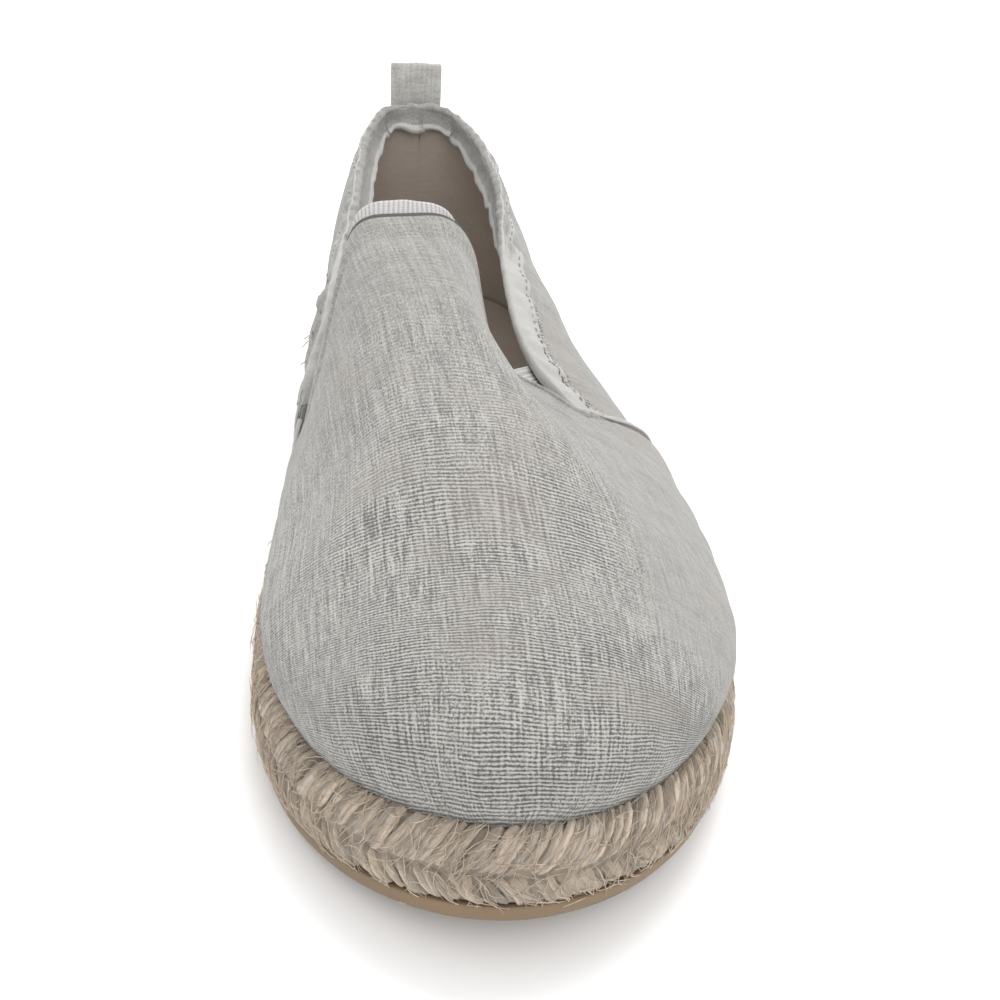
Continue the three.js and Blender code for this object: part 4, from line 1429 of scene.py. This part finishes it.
class ESPADRILLE_OT_pull_tab(Maker):
    """Folded pull loop at the heel"""

    bl_idname = "espadrille.pull_tab"
    bl_label = "Pull tab"

    def execute(self, context):
        sizes, colours, _ = settings()
        low, high = cad_corners("pull_tab")
        left, right, top = low[0], high[0], high[2] - 0.45
        face, foot = low[1] + 1.3, low[2]
        rise = top - foot
        stops = [(face + back, foot + share * rise) for back, share in LOOP]
        stops = [(face - 0.9, foot + 0.3), *stops, (face + 0.2, foot + 0.3)]
        path, walk = curve_through(stops, 150)
        tangent = direction(np.gradient(path, axis=0))
        normal = stack(-tangent[:, 1], tangent[:, 0])
        across = np.linspace(0, 1, 44)
        rim = 8 * np.minimum(across, 1 - across)
        half = 0.36 + 0.12 * (1 - smooth((rim - 0.9) / 0.6)) - 0.26 * (1 - smooth(rim / 0.35)) ** 2
        x = left + (right - left) * across
        y0, z0, w = path[:, None, 0], path[:, None, 1], walk[:, None]
        sheets = []
        place = stack(x, w)
        bow = 0.18 * ripple(place, 13, 71) + 0.06 * ripple(place, 4.5, 72)
        lean = 0.02 * (z0 - foot)
        for sign in (1, -1):
            off = bow + sign * half
            y, z = y0 + normal[:, None, 0] * off, z0 + normal[:, None, 1] * off
            sheets.append(stack(x - lean, y, z))
        points, faces = shell(sheets[1], sheets[0])
        lay = both_faces(stack(x + 600, w + 50, 0.02))
        # The tab's cloth is the same as the rest but painted lighter (level 1.48): painted light
        # on the tab, which faces the front.
        cloth = finish("tab cloth painted light", lambda: chambray_finish(colours, sizes, "tab_chambray_painted_light", 1.48))
        add_piece("heel_pull_tab", points, faces, [cloth], ["pull_tab"], lay=lay)
        return {"FINISHED"}


# ---------------------------------------------------------------------------------------------
# Stitching
# ---------------------------------------------------------------------------------------------
# How far behind the notch the rows of stitches and the raised welts run.
SEAM_ROWS, WELT_ROWS = (3.3, 6.4), (1.5, 4.6)
WELT_SIZE = (0.42, 0.8)  # radius upward and sideways
TAPE_ROW = 0.76  # the row on the tape, as a share of its reach
NEEDLE_MARKS = ((0.72, (158, 172), 9), (1.0, (150, 190), 12))  # share of reach, ribs, how many
TAB_ROWS = (3.0, 9.0)  # heights above the tab's foot


def stitch_row(line, normals, length, gap, lift=0.28, sink=0.55, jitter=0.12, draw=None):
    """Paths of single stitches along a line of points: each dips into the cloth at both ends."""
    walk = walked(line)
    count = max(int(walk[-1] / (length + gap)), 1)
    start = np.arange(count) * (length + gap) + gap / 2
    q = np.linspace(0, 1, 6)
    at = start[:, None] + length * q[None]
    if draw is not None:
        at = at + draw.normal(0, jitter, (count, 1))
    at = np.clip(at, 0, walk[-1])
    paths = stack(*[np.interp(at, walk, line[:, i]) for i in range(3)])
    out = direction(stack(*[np.interp(at, walk, normals[:, i]) for i in range(3)]))
    height = -sink + (lift + sink) * np.sin(np.pi * q) ** 0.45
    return paths + out * height[None, :, None], out


def stitched(row, thick, draw):
    """The threads of a row of stitches, each of its own shade."""
    paths, out = row
    return tubes(paths, thick, thick + 0.02, out, 6, draw.uniform(-1, 1, len(paths)))


class ESPADRILLE_OT_stitching(Maker):
    """Seam stitches, tape stitches and loose thread ends"""

    bl_idname = "espadrille.stitching"
    bl_label = "Stitching"

    def execute(self, context):
        sizes, colours, _ = settings()
        draw = np.random.default_rng(81)
        grey = finish("grey thread", lambda: thread_finish("grey_thread", colours.grey_thread))
        white = finish("white thread", lambda: thread_finish("white_thread", colours.white_thread))
        length, gap = sizes.stitch_length, 0.8
        parts = []
        for side in NOTCH:
            for set_back in SEAM_ROWS:
                rise = np.linspace(0.97, 0.03, 90)
                line, normals = cloth_line(around_of(side, NOTCH[side] + set_back), rise)
                row = stitch_row(line, normals, length, gap, 0.2, draw=draw)
                parts.append(stitched(row, 0.24, draw))
        first, last = (float(around_of(side, NOTCH[side] + 3)) for side in ("lateral", "medial"))
        around, _ = even_along(first, last, 1.2)
        foot = foot_of(around)
        outside = of_side(TAPE, "outside", around, foot)
        line = on_cloth(around, outside * TAPE_ROW, TAPE_LIFT - 0.05)
        normals = direction(line - on_cloth(around, outside * TAPE_ROW, -1.0))
        row = stitch_row(line, normals, length * 0.8, 0.9, 0.22, 0.4, draw=draw)
        parts.append(stitched(row, 0.19, draw))
        add_threads("seam_stitches", parts, grey)

        parts = []
        for side in NOTCH:
            for set_back in WELT_ROWS:
                rise = np.linspace(0.985, 0.02, 70)
                line, normals = cloth_line(around_of(side, NOTCH[side] + set_back), rise)
                wobble = 0.12 * ripple(line, 7, 84)[:, None] * normals
                path = (line + wobble)[None]
                parts.append(tubes(path, *WELT_SIZE, normals[None], 10, np.ones(1)))
        tape = finish("tape", lambda: tape_finish(colours))
        add_threads("seam_welts", parts, tape)

        parts = []
        zig = float(around_of("lateral", 196)), float(around_of("lateral", 150))
        around = np.linspace(*zig, 120)
        foot = foot_of(around)
        outside = column(TAPE["lateral"], "outside", foot)
        swing = 0.55 * np.sign(np.sin(np.arange(120) * 1.55)) + draw.normal(0, 0.3, 120)
        line = on_cloth(around, outside * 0.97 + swing, TAPE_LIFT)
        normals = direction(line - on_cloth(around, outside * 0.97 + swing, -1.0))
        paths, out = stitch_row(line, normals, 1.0, 0.55, 0.25, 0.3, 0.25, draw)
        parts.append(tubes(paths, 0.17, 0.2, out, 6, draw.uniform(-1, 1, len(paths))))
        ends = []
        for _ in range(9):
            base = float(around_of("medial", draw.uniform(160, 172)))
            start = on_cloth(np.array([base]), np.array([draw.uniform(2, 9)]), 0.4)[0]
            q = np.linspace(0, 1, 6)[:, None]
            heading = direction(draw.normal(size=3) * (0.3, 1, 0.7) + (-0.35, -0.3, -0.4))
            curl = direction(draw.normal(size=3))
            ends.append(start + heading * q * draw.uniform(2.0, 4.6) + curl * 0.7 * q**2)
        parts.append(tubes(np.array(ends), 0.16, None, None, 5, draw.uniform(-1, 1, len(ends))))
        add_threads("thread_ends", parts, white)

        holes = []
        for share, foot_range, many in NEEDLE_MARKS:
            foot = draw.uniform(*foot_range, many)
            around = np.array([float(around_of("lateral", f)) for f in foot])
            outside = column(TAPE["lateral"], "outside", foot)
            outside = outside * (share + draw.normal(0, 0.04, many))
            for step in range(many):
                where = np.array([around[step]])
                down, above = outside[step : step + 1], TAPE_LIFT + 0.12
                a = on_cloth(where, down, above)[0]
                b = on_cloth(where + 0.002, down + draw.normal(0, 0.5), above)[0]
                heading = direction(b - a) * draw.uniform(0.3, 0.75)
                holes.append(np.array([a - heading, a, a + heading]))
        dark = finish("dark thread", lambda: thread_finish("dark_thread", colours.dark_thread))
        shades = draw.uniform(-1, 1, len(holes))
        add_threads("needle_marks", [tubes(np.array(holes), 0.16, 0.2, None, 5, shades)], dark)

        low, high = cad_corners("pull_tab")
        parts = []
        for height in TAB_ROWS:
            x = np.linspace(low[0] + 1.5, high[0] - 1.5, 20)
            back = low[1] + 2.55 - (height < 4) * 0.35
            line = stack(x, back, low[2] + height)
            normals = np.tile([0.0, 1.0, 0.0], (len(x), 1))
            row = stitch_row(line, normals, 1.7, 0.6, 0.12, 0.5, 0.05, draw)
            parts.append(stitched(row, 0.2, draw))
        add_threads("pull_tab_stitches", parts, grey)
        return {"FINISHED"}


# ---------------------------------------------------------------------------------------------
# Stage
# ---------------------------------------------------------------------------------------------
FLOOR = 6.0  # metres from the middle to each side
# Name, place in metres, watts, and width in metres.
LIGHTS = (
    ("key_light", (0.2, 0.5, 1.15), 10.0, 0.8),
    ("fill_light", (-0.9, -0.2, 1.1), 0.8, 1.2),
    ("front_light", (0.1, -1.3, 0.9), 6.6, 1.2),
)


class ESPADRILLE_OT_stage(Maker):
    """Pale floor, soft light and the camera"""

    bl_idname = "espadrille.stage"
    bl_label = "Stage"

    def execute(self, context):
        _, _, stage = settings()
        scene = context.scene
        scene.view_settings.view_transform = "Standard"
        scene.view_settings.look = "None"
        world = bpy.data.worlds.new("soft_white_room")
        scene.world = world
        world.use_nodes = True
        background = world.node_tree.nodes["Background"].inputs
        background["Color"].default_value = (1, 1, 1, 1)
        background["Strength"].default_value = stage.light

        mesh = bpy.data.meshes.new("floor")
        corners = [(x * FLOOR, y * FLOOR, 0) for x, y in ((-1, -1), (1, -1), (1, 1), (-1, 1))]
        mesh.from_pydata(corners, [], [(0, 1, 2, 3)])
        mesh.materials.append(floor_finish())
        floor = bpy.data.objects.new("floor", mesh)
        scene.collection.objects.link(floor)
        floor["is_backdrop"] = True

        middle = Vector((0, 0, 0.04))
        for name, place, power, width in LIGHTS:
            lamp = bpy.data.lights.new(name, "AREA")
            lamp.energy, lamp.size = power, width
            holder = bpy.data.objects.new(name, lamp)
            holder.location = place
            holder.rotation_euler = (middle - Vector(place)).to_track_quat("-Z", "Y").to_euler()
            scene.collection.objects.link(holder)

        camera = bpy.data.cameras.new("camera")
        camera.lens = stage.lens
        camera.clip_start = 0.01
        holder = bpy.data.objects.new("camera", camera)
        yaw = Matrix.Rotation(-stage.yaw, 4, "Z")
        pitch = Matrix.Rotation(math.pi / 2 - stage.pitch, 4, "X")
        roll = Matrix.Rotation(stage.roll, 4, "Z")
        holder.matrix_world = Matrix.Translation(stage.place) @ yaw @ pitch @ roll
        scene.collection.objects.link(holder)
        scene.camera = holder
        return {"FINISHED"}


OPERATORS = (
    ESPADRILLE_OT_outsole, ESPADRILLE_OT_jute_sole, ESPADRILLE_OT_insole, ESPADRILLE_OT_upper,
    ESPADRILLE_OT_collar, ESPADRILLE_OT_throat_band, ESPADRILLE_OT_gores, ESPADRILLE_OT_pull_tab,
    ESPADRILLE_OT_stitching, ESPADRILLE_OT_stage,
)


class ESPADRILLE_PT_parts(bpy.types.Panel):
    """Lists the pieces and their settings"""

    bl_idname = "ESPADRILLE_PT_parts"
    bl_label = "Espadrille"
    bl_space_type = "VIEW_3D"
    bl_region_type = "UI"
    bl_category = "Espadrille"

    def draw(self, context):
        for group in settings():
            box = self.layout.box()
            for name in group.__annotations__:
                box.prop(group, name)
        for operator in OPERATORS:
            self.layout.operator(operator.bl_idname)


CLASSES = (EspadrilleSizes, EspadrilleColours, EspadrilleStage, *OPERATORS, ESPADRILLE_PT_parts)


def register():
    for made in CLASSES:
        bpy.utils.register_class(made)
    bpy.types.Scene.espadrille_sizes = PointerProperty(type=EspadrilleSizes)
    bpy.types.Scene.espadrille_colours = PointerProperty(type=EspadrilleColours)
    bpy.types.Scene.espadrille_stage = PointerProperty(type=EspadrilleStage)


def unregister():
    del bpy.types.Scene.espadrille_sizes
    del bpy.types.Scene.espadrille_colours
    del bpy.types.Scene.espadrille_stage
    for made in reversed(CLASSES):
        bpy.utils.unregister_class(made)


def main():
    register()
    for operator in OPERATORS:
        group, name = operator.bl_idname.split(".")
        getattr(getattr(bpy.ops, group), name)()
    boxes = {"cad": CAD_BOX, "visual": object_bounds()}
    {key: [list(corner) for corner in box] for key, box in boxes.items()}


if __name__ == "__main__":
    main()
